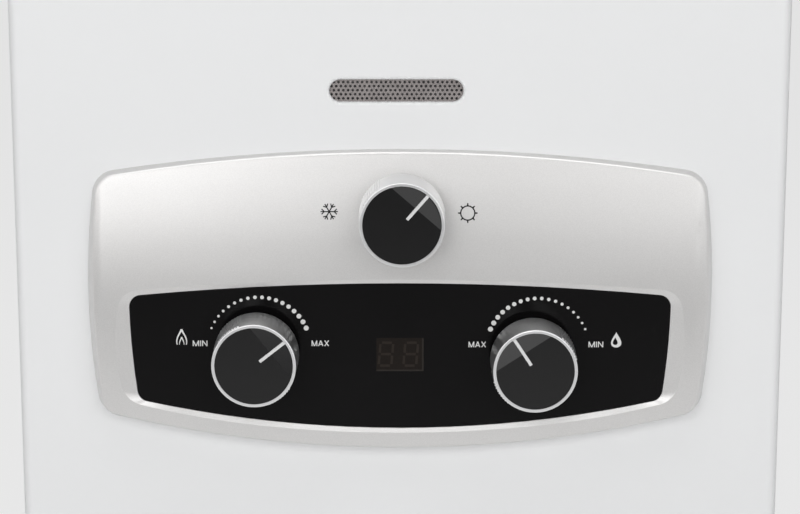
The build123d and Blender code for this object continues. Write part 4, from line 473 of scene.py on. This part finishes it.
def word(text, left, base, height, width):
    """Straight-stroke capitals from a left edge and a base line; width is the word's whole width."""
    gap = 0.3
    natural = sum(LETTER_WIDTH[letter] for letter in text) + gap * (len(text) - 1)
    stretch = width / (natural * height)
    strokes = []
    pen = 0.0
    for letter in text:
        for line in LETTERS[letter]:
            points = np.array(line) + np.array([pen, 0.0])
            strokes.append(points * np.array([height * stretch, height]) + np.array([left, base]))
        pen += LETTER_WIDTH[letter] + gap
    return strokes


# Operators


class HEATER_OT_casing(bpy.types.Operator):
    """Finishes the cover, the perforated strip, the coated sheets, the flue collar and the screws"""

    bl_idname = "heater.casing"
    bl_label = "Casing"

    def execute(self, context):
        colours = context.scene.heater_finishes
        enamel = finish(
            "cover_enamel", "surface_grain",
            {"Colour": colours.cover_paint, "Cloud Scale": 5.0, "Cloud Depth": 0.012, "Grain Scale": 420.0,
             "Rough Low": 0.3, "Rough High": 0.4},
            bump=0.03, bump_size=0.0001, Specular_IOR_Level=0.4)
        dress(enamel, "front_cover")
        strip = finish(
            "perforated_strip", "surface_grain",
            {"Colour": (0.3, 0.275, 0.27), "Cloud Scale": 160.0, "Cloud Depth": 0.22, "Grain Scale": 2600.0,
             "Rough Low": 0.35, "Rough High": 0.6},
            bump=0.15, bump_size=0.00005, Metallic=0.7)
        dress(strip, "viewing_mesh")
        sheet = finish(
            "zinc_sheet", "surface_grain",
            {"Colour": colours.zinc, "Cloud Scale": 90.0, "Cloud Depth": 0.14, "Grain Scale": 800.0,
             "Rough Low": 0.32, "Rough High": 0.52},
            bump=0.05, bump_size=0.0001, Metallic=0.9)
        dress(sheet, "back_plate", "flue_hood")
        collar = finish(
            "collar_sheet", "drawn_lines",
            {"Colour": (0.58, 0.59, 0.6), "Stretch": (60.0, 60.0, 2200.0), "Depth": 0.08, "Rough Low": 0.24,
             "Rough High": 0.4},
            bump=0.06, bump_size=0.00005, Metallic=0.95)
        dress(collar, "flue_collar", "flue_flange")
        screw = finish(
            "bright_zinc", "surface_grain",
            {"Colour": (0.62, 0.62, 0.6), "Cloud Scale": 400.0, "Cloud Depth": 0.1, "Grain Scale": 3000.0,
             "Rough Low": 0.22, "Rough High": 0.38},
            bump=0.05, bump_size=0.00003, Metallic=1.0)
        dress(screw, "cover_screws", "panel_screws", "disc_screws", "battery_hinge_pin", "battery_contacts")
        return {"FINISHED"}


class HEATER_OT_panel(bpy.types.Operator):
    """Finishes the silver bezel and the black lens"""

    bl_idname = "heater.panel"
    bl_label = "Control panel"

    def execute(self, context):
        colours = context.scene.heater_finishes
        lacquer = finish(
            "silver_lacquer", "metal_flake",
            {"Colour": colours.bezel_paint, "Flake Scale": 4200.0, "Depth": 0.04, "Rough Low": 0.3,
             "Rough High": 0.36},
            bump=0.04, bump_size=0.00003, Metallic=0.8, Coat_Weight=0.12, Coat_Roughness=0.2)
        dress(lacquer, "control_bezel")
        gloss = finish(
            "lens_gloss", "surface_grain",
            {"Colour": colours.lens_black, "Cloud Scale": 30.0, "Cloud Depth": 0.15, "Grain Scale": 1200.0,
             "Rough Low": 0.07, "Rough High": 0.14},
            Specular_IOR_Level=LENS_GLOSS)
        dress(gloss, "display_lens")
        return {"FINISHED"}


class HEATER_OT_knobs(bpy.types.Operator):
    """Finishes the three knobs: satin skirts, black faces and pale pointer bars"""

    bl_idname = "heater.knobs"
    bl_label = "Knobs"

    def execute(self, context):
        colours = context.scene.heater_finishes
        satin = finish(
            "knob_satin", "drawn_lines",
            {"Colour": colours.knob_plating, "Stretch": (220.0, 5200.0, 220.0), "Depth": 0.06,
             "Rough Low": 0.24, "Rough High": 0.38},
            bump=0.04, bump_size=0.00003, Metallic=0.95)
        dress(satin, "gas_knob", "water_knob", "selector_knob")
        face = finish(
            "knob_face_black", "surface_grain",
            {"Colour": colours.face_black, "Cloud Scale": 120.0, "Cloud Depth": 0.12, "Grain Scale": 2400.0,
             "Rough Low": 0.14, "Rough High": 0.2},
            bump=0.02, bump_size=0.00003, Specular_IOR_Level=0.38)
        dress(face, "gas_knob_face", "water_knob_face", "selector_knob_face")
        bar = finish(
            "pointer_pale", "surface_grain",
            {"Colour": (0.84, 0.84, 0.83), "Cloud Scale": 300.0, "Cloud Depth": 0.04, "Grain Scale": 3000.0,
             "Rough Low": 0.3, "Rough High": 0.42},
            Metallic=0.3)
        dress(bar, "gas_knob_pointer", "water_knob_pointer", "selector_knob_pointer")
        return {"FINISHED"}


def white_ink():
    """White screen-print ink of the lens's marks."""
    colour = bpy.context.scene.heater_finishes.print_white
    return finish(
        "white_ink", "surface_grain",
        {"Colour": colour, "Cloud Scale": 500.0, "Cloud Depth": 0.04, "Grain Scale": 5000.0,
         "Rough Low": 0.45, "Rough High": 0.6},
        Specular_IOR_Level=0.3)


class HEATER_OT_dials(bpy.types.Operator):
    """Prints the two arcs of dots and the words at their ends"""

    bl_idname = "heater.dials"
    bl_label = "Dials"

    def execute(self, context):
        prints = context.scene.heater_prints
        ink = white_ink()
        # Each dial: its centre's x, its height from the panel's level, and 1 where dots grow to the right
        dials = (("gas_dial", -0.06025, -0.03729, 1.0), ("water_dial", 0.05885, -0.03778, -1.0))
        share = np.linspace(0.0, 1.0, prints.dot_count)
        radii = (prints.dot_small + (prints.dot_large - prints.dot_small) * share) / 2
        for name, x, height, way in dials:
            centre = np.array([x, PANEL_LEVEL + height])
            angle = way * (2 * share - 1) * prints.dial_reach
            spots = centre + prints.dial_radius * np.stack([np.sin(angle), np.cos(angle)], axis=1)
            dots = [disc(spot, radius) for spot, radius in zip(spots, radii)]
            add_print(name + "_dots", dots, lens_front, prints.lift, ink)
        # Each word: its text, its left edge, its base line from the panel's level, and its width
        words = (
            ("gas_min", "MIN", -0.0884, -0.0368, 0.0059),
            ("gas_max", "MAX", -0.0376, -0.0368, 0.0071),
            ("water_max", "MAX", 0.0295, -0.0373, 0.0071),
            ("water_min", "MIN", 0.0808, -0.0373, 0.0059),
        )
        for name, text, left, base, width in words:
            lines = word(text, left, PANEL_LEVEL + base, prints.letter_height, width)
            strokes = [stroke(line, prints.letter_stroke) for line in lines]
            add_print(name, strokes, lens_front, prints.lift, ink)
        return {"FINISHED"}


class HEATER_OT_icons(bpy.types.Operator):
    """Prints the flame and the drop on the lens, and the snowflake and the sun on the bezel"""

    bl_idname = "heater.icons"
    bl_label = "Icons"

    def flame(self):
        """Two nested pointed arches; a side is x = w sin(t pi s)^1.3, z = h (1 - s), s = 0 at the tip."""
        centre = np.array([-0.0933, PANEL_LEVEL - 0.0362])
        share = np.linspace(0.0, 1.0, 32)
        bulge, taper = 1.3, 0.45
        # Each arch: half its width w, the turn t of its side, its height h and its stroke
        arches = ((0.00212, 0.62, 0.0068, 0.00082), (0.00098, 0.54, 0.0034, 0.00056))
        strokes = []
        for half, turn, height, width in arches:
            side = np.stack([half * np.sin(turn * math.pi * share) ** bulge, height * (1 - share)], axis=1)
            for way in (-1.0, 1.0):
                strokes.append(stroke(centre + side * np.array([way, 1.0]), width, taper))
        return strokes

    def drop(self):
        """Ring between two drops; a drop is x = w sin a ((1 - cos a) / 2)^0.8, z = h cos a."""
        angle = np.linspace(0.0, 2 * math.pi, 48, endpoint=False)
        belly = 0.8
        outline = np.stack([np.sin(angle) * (0.5 - 0.5 * np.cos(angle)) ** belly, np.cos(angle)], axis=1)
        centre = np.array([0.0924, PANEL_LEVEL - 0.034])
        outer_size, inner_size = np.array([0.0032, 0.0034]), np.array([0.0015, 0.00168])
        inner_shift = np.array([-0.0004, -0.0006])
        return [band(centre + outline * outer_size, centre + inner_shift + outline * inner_size)]

    def snowflake(self, width):
        """Six arms at 60 degree steps, each with a pair of side branches at 45 degrees."""
        centre = np.array([-0.03, PANEL_LEVEL + 0.0212])
        reach, fork, branch, lean = 0.0037, 0.0021, 0.0016, math.radians(45.0)
        strokes = []
        for angle in np.radians(np.arange(6) * 60.0):
            along = np.array([math.cos(angle), math.sin(angle)])
            strokes.append(stroke([centre, centre + along * reach], width))
            root = centre + along * fork
            for turn in (angle - lean, angle + lean):
                tip = root + branch * np.array([math.cos(turn), math.sin(turn)])
                strokes.append(stroke([root, tip], width))
        return strokes

    def sun(self):
        """A ring with eight tapered rays."""
        centre = np.array([0.0287, PANEL_LEVEL + 0.0206])
        ring_outer, ring_inner = 0.00325, 0.0027
        ray_start, ray_end, ray_width, ray_taper = 0.0031, 0.0042, 0.00075, 0.6
        ring = circle(64)
        marks = [band(centre + ring * ring_outer, centre + ring * ring_inner)]
        for turn in np.radians(np.arange(8) * 45.0):
            along = np.array([math.cos(turn), math.sin(turn)])
            marks.append(stroke([centre + along * ray_start, centre + along * ray_end], ray_width, ray_taper))
        return marks

    def execute(self, context):
        prints = context.scene.heater_prints
        white = white_ink()
        black = finish(
            "black_ink", "surface_grain",
            {"Colour": context.scene.heater_finishes.print_black, "Cloud Scale": 500.0, "Cloud Depth": 0.15,
             "Grain Scale": 5000.0, "Rough Low": 0.4, "Rough High": 0.55},
            Specular_IOR_Level=0.2)
        marks = (
            ("flame_icon", self.flame(), lens_front, white, "lens_black"),
            ("drop_icon", self.drop(), lens_front, white, "lens_black"),
            ("snowflake_icon", self.snowflake(prints.icon_stroke), bezel_front, black, "bezel_silver"),
            ("sun_icon", self.sun(), bezel_front, black, "bezel_silver"),
        )
        for name, parts, surface, ink, slot in marks:
            add_print(name, parts, surface, prints.lift, ink)
        return {"FINISHED"}


class HEATER_OT_display(bpy.types.Operator):
    """Shows the unlit two-digit display that is seen faintly through the lens"""

    bl_idname = "heater.display"
    bl_label = "Display"

    def segments(self, centre, height, slant, width):
        """Seven bars of one digit, sheared to the right by z tan(slant)."""
        half_x, half_z, trim = 0.27 * height, 0.5 * height, 0.6 * width
        bars = [[(trim - half_x, z), (half_x - trim, z)] for z in (half_z, 0.0, -half_z)]
        for top, foot in ((half_z - trim, trim), (-trim, trim - half_z)):
            bars += [[(x, top), (x, foot)] for x in (-half_x, half_x)]
        shear = np.array([[1.0, 0.0], [math.tan(slant), 1.0]])
        return [stroke(np.array(bar) @ shear + centre, width) for bar in bars]

    def execute(self, context):
        prints = context.scene.heater_prints
        low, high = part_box("digit_display")
        foot_rise, edge, bar_width = 0.001, 0.0007, 0.00105
        digit_half_step, digit_shift = 0.0053, np.array([-0.0007, 0.0002])
        under, over = prints.lift * 0.4, prints.lift * 0.8
        foot = low.z + foot_rise
        middle = np.array([(low.x + high.x) / 2, (foot + high.z) / 2])
        dark = {"Cloud Scale": 200.0, "Cloud Depth": 0.12, "Grain Scale": 2000.0, "Rough Low": 0.1,
                "Rough High": 0.18}
        glass, bars, rim = (
            finish(name, "surface_grain", {"Colour": colour, **dark}, Specular_IOR_Level=LENS_GLOSS)
            for name, colour in (
                ("display_window", (0.0132, 0.0102, 0.0085)),
                ("display_bars", (0.0265, 0.021, 0.0175)),
                ("display_rim", (0.027, 0.0235, 0.021))))
        window = [stroke([(low.x, middle[1]), (high.x, middle[1])], high.z - foot)]
        add_print("display_window", window, lens_front, under, glass)
        digits = []
        for step in (-digit_half_step, digit_half_step):
            centre = middle + digit_shift + np.array([step, 0.0])
            digits += self.segments(centre, prints.digit_height, prints.digit_slant, bar_width)
        add_print("display_digits", digits, lens_front, over, bars)
        rims = [
            stroke([(high.x - edge / 2, foot), (high.x - edge / 2, high.z)], edge),
            stroke([(low.x, foot + edge / 2), (high.x - edge, foot + edge / 2)], edge),
        ]
        add_print("display_rim", rims, lens_front, over, rim)
        dress(glass, "digit_display")
        return {"FINISHED"}


class HEATER_OT_works(bpy.types.Operator):
    """Finishes the gas, water, fire and battery pieces inside the casing"""

    bl_idname = "heater.works"
    bl_label = "Inner works"

    def execute(self, context):
        colours = context.scene.heater_finishes
        cast = finish(
            "cast_brass", "surface_grain",
            {"Colour": colours.brass, "Cloud Scale": 70.0, "Cloud Depth": 0.14, "Grain Scale": 900.0,
             "Rough Low": 0.3, "Rough High": 0.52},
            bump=0.15, bump_size=0.0001, Metallic=1.0)
        dress(cast, "gas_valve_body", "section_valve_body", "water_valve_body", "diaphragm_cover")
        turned = finish(
            "turned_brass", "drawn_lines",
            {"Colour": colours.brass, "Stretch": (900.0, 900.0, 900.0), "Depth": 0.07, "Rough Low": 0.2,
             "Rough High": 0.36},
            bump=0.03, bump_size=0.00005, Metallic=1.0)
        dress(turned, "gas_spindle", "water_spindle", "selector_spindle", "valve_caps", "injectors",
              "union_nuts", *NIPPLES)
        copper = finish(
            "drawn_copper", "heat_tint",
            {"Colour": colours.copper, "Tarnish": (0.3, 0.12, 0.08), "Patch Scale": 45.0, "Rough Low": 0.2,
             "Rough High": 0.45},
            bump=0.03, bump_size=0.00005, Metallic=1.0)
        dress(copper, "gas_feed_pipe", "cold_pipe", "hot_pipe", "combustion_chamber", "exchanger_fins",
              "exchanger_tube")
        fired = finish(
            "fired_steel", "heat_tint",
            {"Colour": (0.45, 0.44, 0.43), "Tarnish": (0.12, 0.09, 0.11), "Patch Scale": 60.0,
             "Rough Low": 0.3, "Rough High": 0.55},
            bump=0.05, bump_size=0.00005, Metallic=1.0)
        dress(fired, "burner_frame", "burner_bars", "gas_manifold")
        plain = finish(
            "plain_steel", "drawn_lines",
            {"Colour": (0.5, 0.5, 0.5), "Stretch": (80.0, 1500.0, 1500.0), "Depth": 0.08, "Rough Low": 0.25,
             "Rough High": 0.4},
            Metallic=1.0)
        dress(plain, "solenoid_plunger", "push_rod", "microswitch_lever")
        moulded = {"Cloud Scale": 60.0, "Cloud Depth": 0.1, "Grain Scale": 1500.0, "Rough Low": 0.45,
                   "Rough High": 0.6}
        textured = {"bump": 0.1, "bump_size": 0.00005}
        black = finish(
            "moulded_black", "surface_grain", {"Colour": (0.02, 0.02, 0.021), **moulded}, **textured)
        dress(black, "gas_solenoid", "microswitch", "overheat_switch", "igniter_box")
        grey = finish("moulded_grey", "surface_grain", {"Colour": (0.26, 0.27, 0.28), **moulded}, **textured)
        dress(grey, "battery_box", "battery_lid")
        rubber = finish(
            "diaphragm_rubber", "surface_grain", {"Colour": (0.02, 0.02, 0.02), **moulded}, **textured)
        dress(rubber, "diaphragm")
        cell = finish("cell_sleeve", "surface_grain", {"Colour": (0.1, 0.1, 0.11), **moulded}, Metallic=0.4)
        dress(cell, "batteries")
        lead = finish("lead_sleeve", "surface_grain", {"Colour": (0.36, 0.04, 0.03), **moulded})
        dress(lead, "probe_leads")
        ceramic = finish(
            "probe_ceramic", "surface_grain",
            {"Colour": (0.8, 0.78, 0.72), "Cloud Scale": 90.0, "Cloud Depth": 0.05, "Grain Scale": 1500.0,
             "Rough Low": 0.2, "Rough High": 0.32})
        dress(ceramic, "ignition_electrode", "flame_sensor")
        board = finish(
            "board_mask", "surface_grain",
            {"Colour": (0.02, 0.14, 0.06), "Cloud Scale": 120.0, "Cloud Depth": 0.2, "Grain Scale": 1500.0,
             "Rough Low": 0.25, "Rough High": 0.4})
        dress(board, "display_board")
        return {"FINISHED"}


class HEATER_OT_threads(bpy.types.Operator):
    """Cuts the pipe threads that the three plain connections stand in for"""

    bl_idname = "heater.threads"
    bl_label = "Pipe threads"

    def nipple(self, prints, low, high):
        """Rings of points round the axis, from the bore's top over the shank, hexagon and thread and back.

        A ring's radius is r(a) = R; on the hexagon r(a) = c cos 30 / cos(a mod 60 - 30); on the thread
        r(a, z) = R - d f(z) |2 frac(z / p - a / 360) - 1|, where f fades the thread out at both ends."""
        count, thread_rows = 144, 81
        bore, shank, major = 0.007, 0.009, 0.01048
        thread_length, hex_height, lead_share = 0.02, 0.008, 0.6
        angle = np.linspace(0.0, 2 * math.pi, count, endpoint=False)
        flat = np.ones(count)
        corner = (high.x - low.x) / 2
        hexagon = corner * math.cos(math.pi / 6) / np.cos(angle % (math.pi / 3) - math.pi / 6)
        end, hex_low = low.z, low.z + thread_length
        hex_high = hex_low + hex_height
        rows = np.linspace(hex_low, end, thread_rows)
        fade = np.clip(np.minimum(rows - end, hex_low - rows) / prints.thread_pitch, 0.0, 1.0)
        phase = (rows[:, None] / prints.thread_pitch - angle[None, :] / (2 * math.pi)) % 1.0
        cut = prints.thread_depth * np.abs(2 * phase - 1)
        lead = prints.thread_depth * np.clip(1 - (rows - end) / prints.thread_pitch, 0.0, 1.0)
        thread = major - cut * fade[:, None] - lead[:, None] * lead_share
        head = [bore * flat, shank * flat, shank * flat, hexagon, hexagon]
        radii = np.concatenate([head, thread, [bore * flat]])
        heights = np.concatenate([[high.z, high.z, hex_high, hex_high, hex_low], rows, [end]])
        middle = np.array([(low.x + high.x) / 2, (low.y + high.y) / 2])
        level = middle + radii[:, :, None] * circle(count)
        tall = np.broadcast_to(heights[:, None, None], (len(heights), count, 1))
        points = np.concatenate([level, tall], axis=2).reshape(-1, 3)
        faces = grid_faces(len(heights), count, close_columns=True)
        last = (len(heights) - 1) * count
        column = np.arange(count)
        beside = (column + 1) % count
        bore_wall = np.stack([last + column, last + beside, beside, column], axis=1)
        faces = np.concatenate([faces, bore_wall])[:, ::-1]
        row = np.repeat(np.arange(len(heights)), count)
        smooth = (row >= len(head)) | (row == 1)
        return points, faces, smooth

    def execute(self, context):
        prints = context.scene.heater_prints
        brass = bpy.data.materials["turned_brass"]
        for name in NIPPLES:
            points, faces, smooth = self.nipple(prints, *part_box(name))
            piece = add_piece(name + "_thread", points, faces, "casing", brass, smooth)
            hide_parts(name)
        return {"FINISHED"}


# Soft lights: name, place, width and height, the setting of the power, and whether reflections show it
LAMPS = (
    ("key_softbox", (-0.45, -1.98, 0.49), (0.62, 1.15), "key_power", True),
    ("key_wing", (-1.25, -1.6, 0.47), (1.1, 1.15), "wing_power", True),
    ("fill_softbox", (0.46, -1.96, 0.41), (0.54, 1.1), "fill_power", True),
    ("fill_wing", (1.15, -1.65, 0.38), (1.1, 1.1), "wing_power", True),
    ("front_softbox", (0.0, -2.0, 0.45), (2.4, 1.1), "front_power", False),
    ("top_softbox", (0.0, -0.7, 1.7), (2.0, 1.2), "top_power", True),
)
LAMP_AIM = Vector((0.0, -0.12, -0.1))


class HEATER_OT_stage(bpy.types.Operator):
    """Sets up the pale floor, the soft lights, the white surround and the camera"""

    bl_idname = "heater.stage"
    bl_label = "Stage"

    def seen_directly(self, tree):
        """1 for camera, glossy and transmission rays, 0 for the rest."""
        path = tree.nodes.new("ShaderNodeLightPath")
        first = math_node(tree, "MAXIMUM", path.outputs["Is Camera Ray"], path.outputs["Is Glossy Ray"])
        return math_node(tree, "MAXIMUM", first, path.outputs["Is Transmission Ray"])

    def room(self, tree, source, near, far):
        """1 to the camera and behind the heater; reflections dim towards the front, from far to near along Y.

        source names the Texture Coordinate output that Y is read from."""
        place = tree.nodes.new("ShaderNodeSeparateXYZ")
        tree.links.new(tree.nodes.new("ShaderNodeTexCoord").outputs[source], place.inputs["Vector"])
        front = tree.nodes.new("ShaderNodeMapRange")
        front.inputs["From Min"].default_value = near
        front.inputs["From Max"].default_value = far
        front.inputs["To Min"].default_value = bpy.context.scene.heater_stage.front_white
        tree.links.new(place.outputs["Y"], front.inputs["Value"])
        path = tree.nodes.new("ShaderNodeLightPath")
        return math_node(tree, "MAXIMUM", front.outputs["Result"], path.outputs["Is Camera Ray"])

    def mixed(self, tree, share, first, second):
        """Mix of two shaders, with the second one's share."""
        node = tree.nodes.new("ShaderNodeMixShader")
        tree.links.new(share, node.inputs["Fac"])
        tree.links.new(first, node.inputs[1])
        tree.links.new(second, node.inputs[2])
        return node.outputs["Shader"]

    def surround(self, context):
        """White to the camera and in reflections, dimmer in front; an even light for all other rays."""
        near, far = -0.96, -0.6
        world = bpy.data.worlds.new("surround")
        context.scene.world = world
        world.use_nodes = True
        tree = world.node_tree
        light = tree.nodes["Background"]
        light.inputs["Strength"].default_value = context.scene.heater_stage.ambient
        white = tree.nodes.new("ShaderNodeBackground")
        tree.links.new(self.room(tree, "Generated", near, far), white.inputs["Strength"])
        for node in (light, white):
            node.inputs["Color"].default_value = (1.0, 1.0, 1.0, 1.0)
        seen = self.seen_directly(tree)
        sky = self.mixed(tree, seen, light.outputs["Background"], white.outputs["Background"])
        tree.links.new(sky, tree.nodes["World Output"].inputs["Surface"])

    def floor(self):
        """A wide level square under the heater, with room for the open battery lid, and clear from below.

        It is mostly white of itself to the camera, so that its shadow stays soft."""
        reach, level = 6.0, CAD_LOW.z - 0.04
        near, far, own_white = -1.48, -0.62, 0.7
        corners = [(x * reach, y * reach, level) for x, y in ((-1, -1), (1, -1), (1, 1), (-1, 1))]
        mesh = bpy.data.meshes.new("floor")
        mesh.from_pydata(corners, [], [(0, 1, 2, 3)])
        floor = bpy.data.objects.new("floor", mesh)
        bpy.context.scene.collection.objects.link(floor)
        material = bpy.data.materials.new("pale_floor")
        material.use_nodes = True
        tree = material.node_tree
        shader = tree.nodes["Principled BSDF"]
        shader.inputs["Base Color"].default_value = (0.85, 0.85, 0.85, 1.0)
        shader.inputs["Roughness"].default_value = 0.9
        glow = tree.nodes.new("ShaderNodeEmission")
        tree.links.new(self.room(tree, "Object", near, far), glow.inputs["Strength"])
        share = math_node(tree, "MULTIPLY", self.seen_directly(tree), own_white)
        top = self.mixed(tree, share, shader.outputs["BSDF"], glow.outputs["Emission"])
        below = tree.nodes.new("ShaderNodeNewGeometry").outputs["Backfacing"]
        clear = tree.nodes.new("ShaderNodeBsdfTransparent").outputs["BSDF"]
        tree.links.new(self.mixed(tree, below, top, clear), tree.nodes["Material Output"].inputs["Surface"])
        mesh.materials.append(material)

    def softbox(self, name, place, size, power, mirrored):
        """Area light at a place, turned to the aim; one that isn't mirrored stays out of reflections."""
        lamp = bpy.data.lights.new(name, "AREA")
        lamp.shape = "RECTANGLE"
        lamp.size, lamp.size_y = size
        lamp.energy = power
        holder = bpy.data.objects.new(name, lamp)
        holder.location = place
        holder.rotation_euler = (LAMP_AIM - Vector(place)).to_track_quat("-Z", "Y").to_euler()
        holder.visible_glossy = mirrored
        bpy.context.scene.collection.objects.link(holder)

    def camera(self, context):
        """Looks down at the panel by the pitch, from a distance along its line of sight."""
        cover_front = -0.15
        settings = context.scene.heater_stage
        data = bpy.data.cameras.new("camera")
        data.sensor_width = 36.0
        data.lens = settings.focal_pixels / PHOTO_WIDTH * data.sensor_width
        data.clip_start, data.clip_end = 0.01, 50.0
        holder = bpy.data.objects.new("camera", data)
        pitch = settings.camera_pitch
        target = Vector((0.0, cover_front, PANEL_LEVEL))
        back = Vector((0.0, -math.cos(pitch), math.sin(pitch)))
        holder.location = target + back * settings.camera_distance
        holder.rotation_euler = (math.pi / 2 - pitch, 0.0, 0.0)
        bpy.context.scene.collection.objects.link(holder)
        context.scene.camera = holder

    def execute(self, context):
        settings = context.scene.heater_stage
        context.scene.view_settings.view_transform = "Standard"
        self.surround(context)
        self.floor()
        for name, place, size, power, mirrored in LAMPS:
            self.softbox(name, place, size, getattr(settings, power), mirrored)
        self.camera(context)
        return {"FINISHED"}


STEPS = (
    HEATER_OT_casing,
    HEATER_OT_panel,
    HEATER_OT_knobs,
    HEATER_OT_dials,
    HEATER_OT_icons,
    HEATER_OT_display,
    HEATER_OT_works,
    HEATER_OT_threads,
    HEATER_OT_stage,
)


class HEATER_PT_sidebar(bpy.types.Panel):
    """Lists the steps that dress the heater and the settings they read"""

    bl_idname = "HEATER_PT_sidebar"
    bl_label = "Gas water heater"
    bl_space_type = "VIEW_3D"
    bl_region_type = "UI"
    bl_category = "Heater"

    def draw(self, context):
        for step in STEPS:
            self.layout.operator(step.bl_idname)
        for group in (context.scene.heater_finishes, context.scene.heater_prints, context.scene.heater_stage):
            box = self.layout.box()
            for label in group.__annotations__:
                box.prop(group, label)


CLASSES = (HeaterFinishes, HeaterPrints, HeaterStage, *STEPS, HEATER_PT_sidebar)


def register():
    for cls in CLASSES:
        bpy.utils.register_class(cls)
    bpy.types.Scene.heater_finishes = bpy.props.PointerProperty(type=HeaterFinishes)
    bpy.types.Scene.heater_prints = bpy.props.PointerProperty(type=HeaterPrints)
    bpy.types.Scene.heater_stage = bpy.props.PointerProperty(type=HeaterStage)


def unregister():
    del bpy.types.Scene.heater_stage
    del bpy.types.Scene.heater_prints
    del bpy.types.Scene.heater_finishes
    for cls in reversed(CLASSES):
        bpy.utils.unregister_class(cls)


def main():
    register()
    bpy.ops.heater.casing()
    bpy.ops.heater.panel()
    bpy.ops.heater.knobs()
    bpy.ops.heater.dials()
    bpy.ops.heater.icons()
    bpy.ops.heater.display()
    bpy.ops.heater.works()
    bpy.ops.heater.threads()
    bpy.ops.heater.stage()


if __name__ == "__main__":
    main()
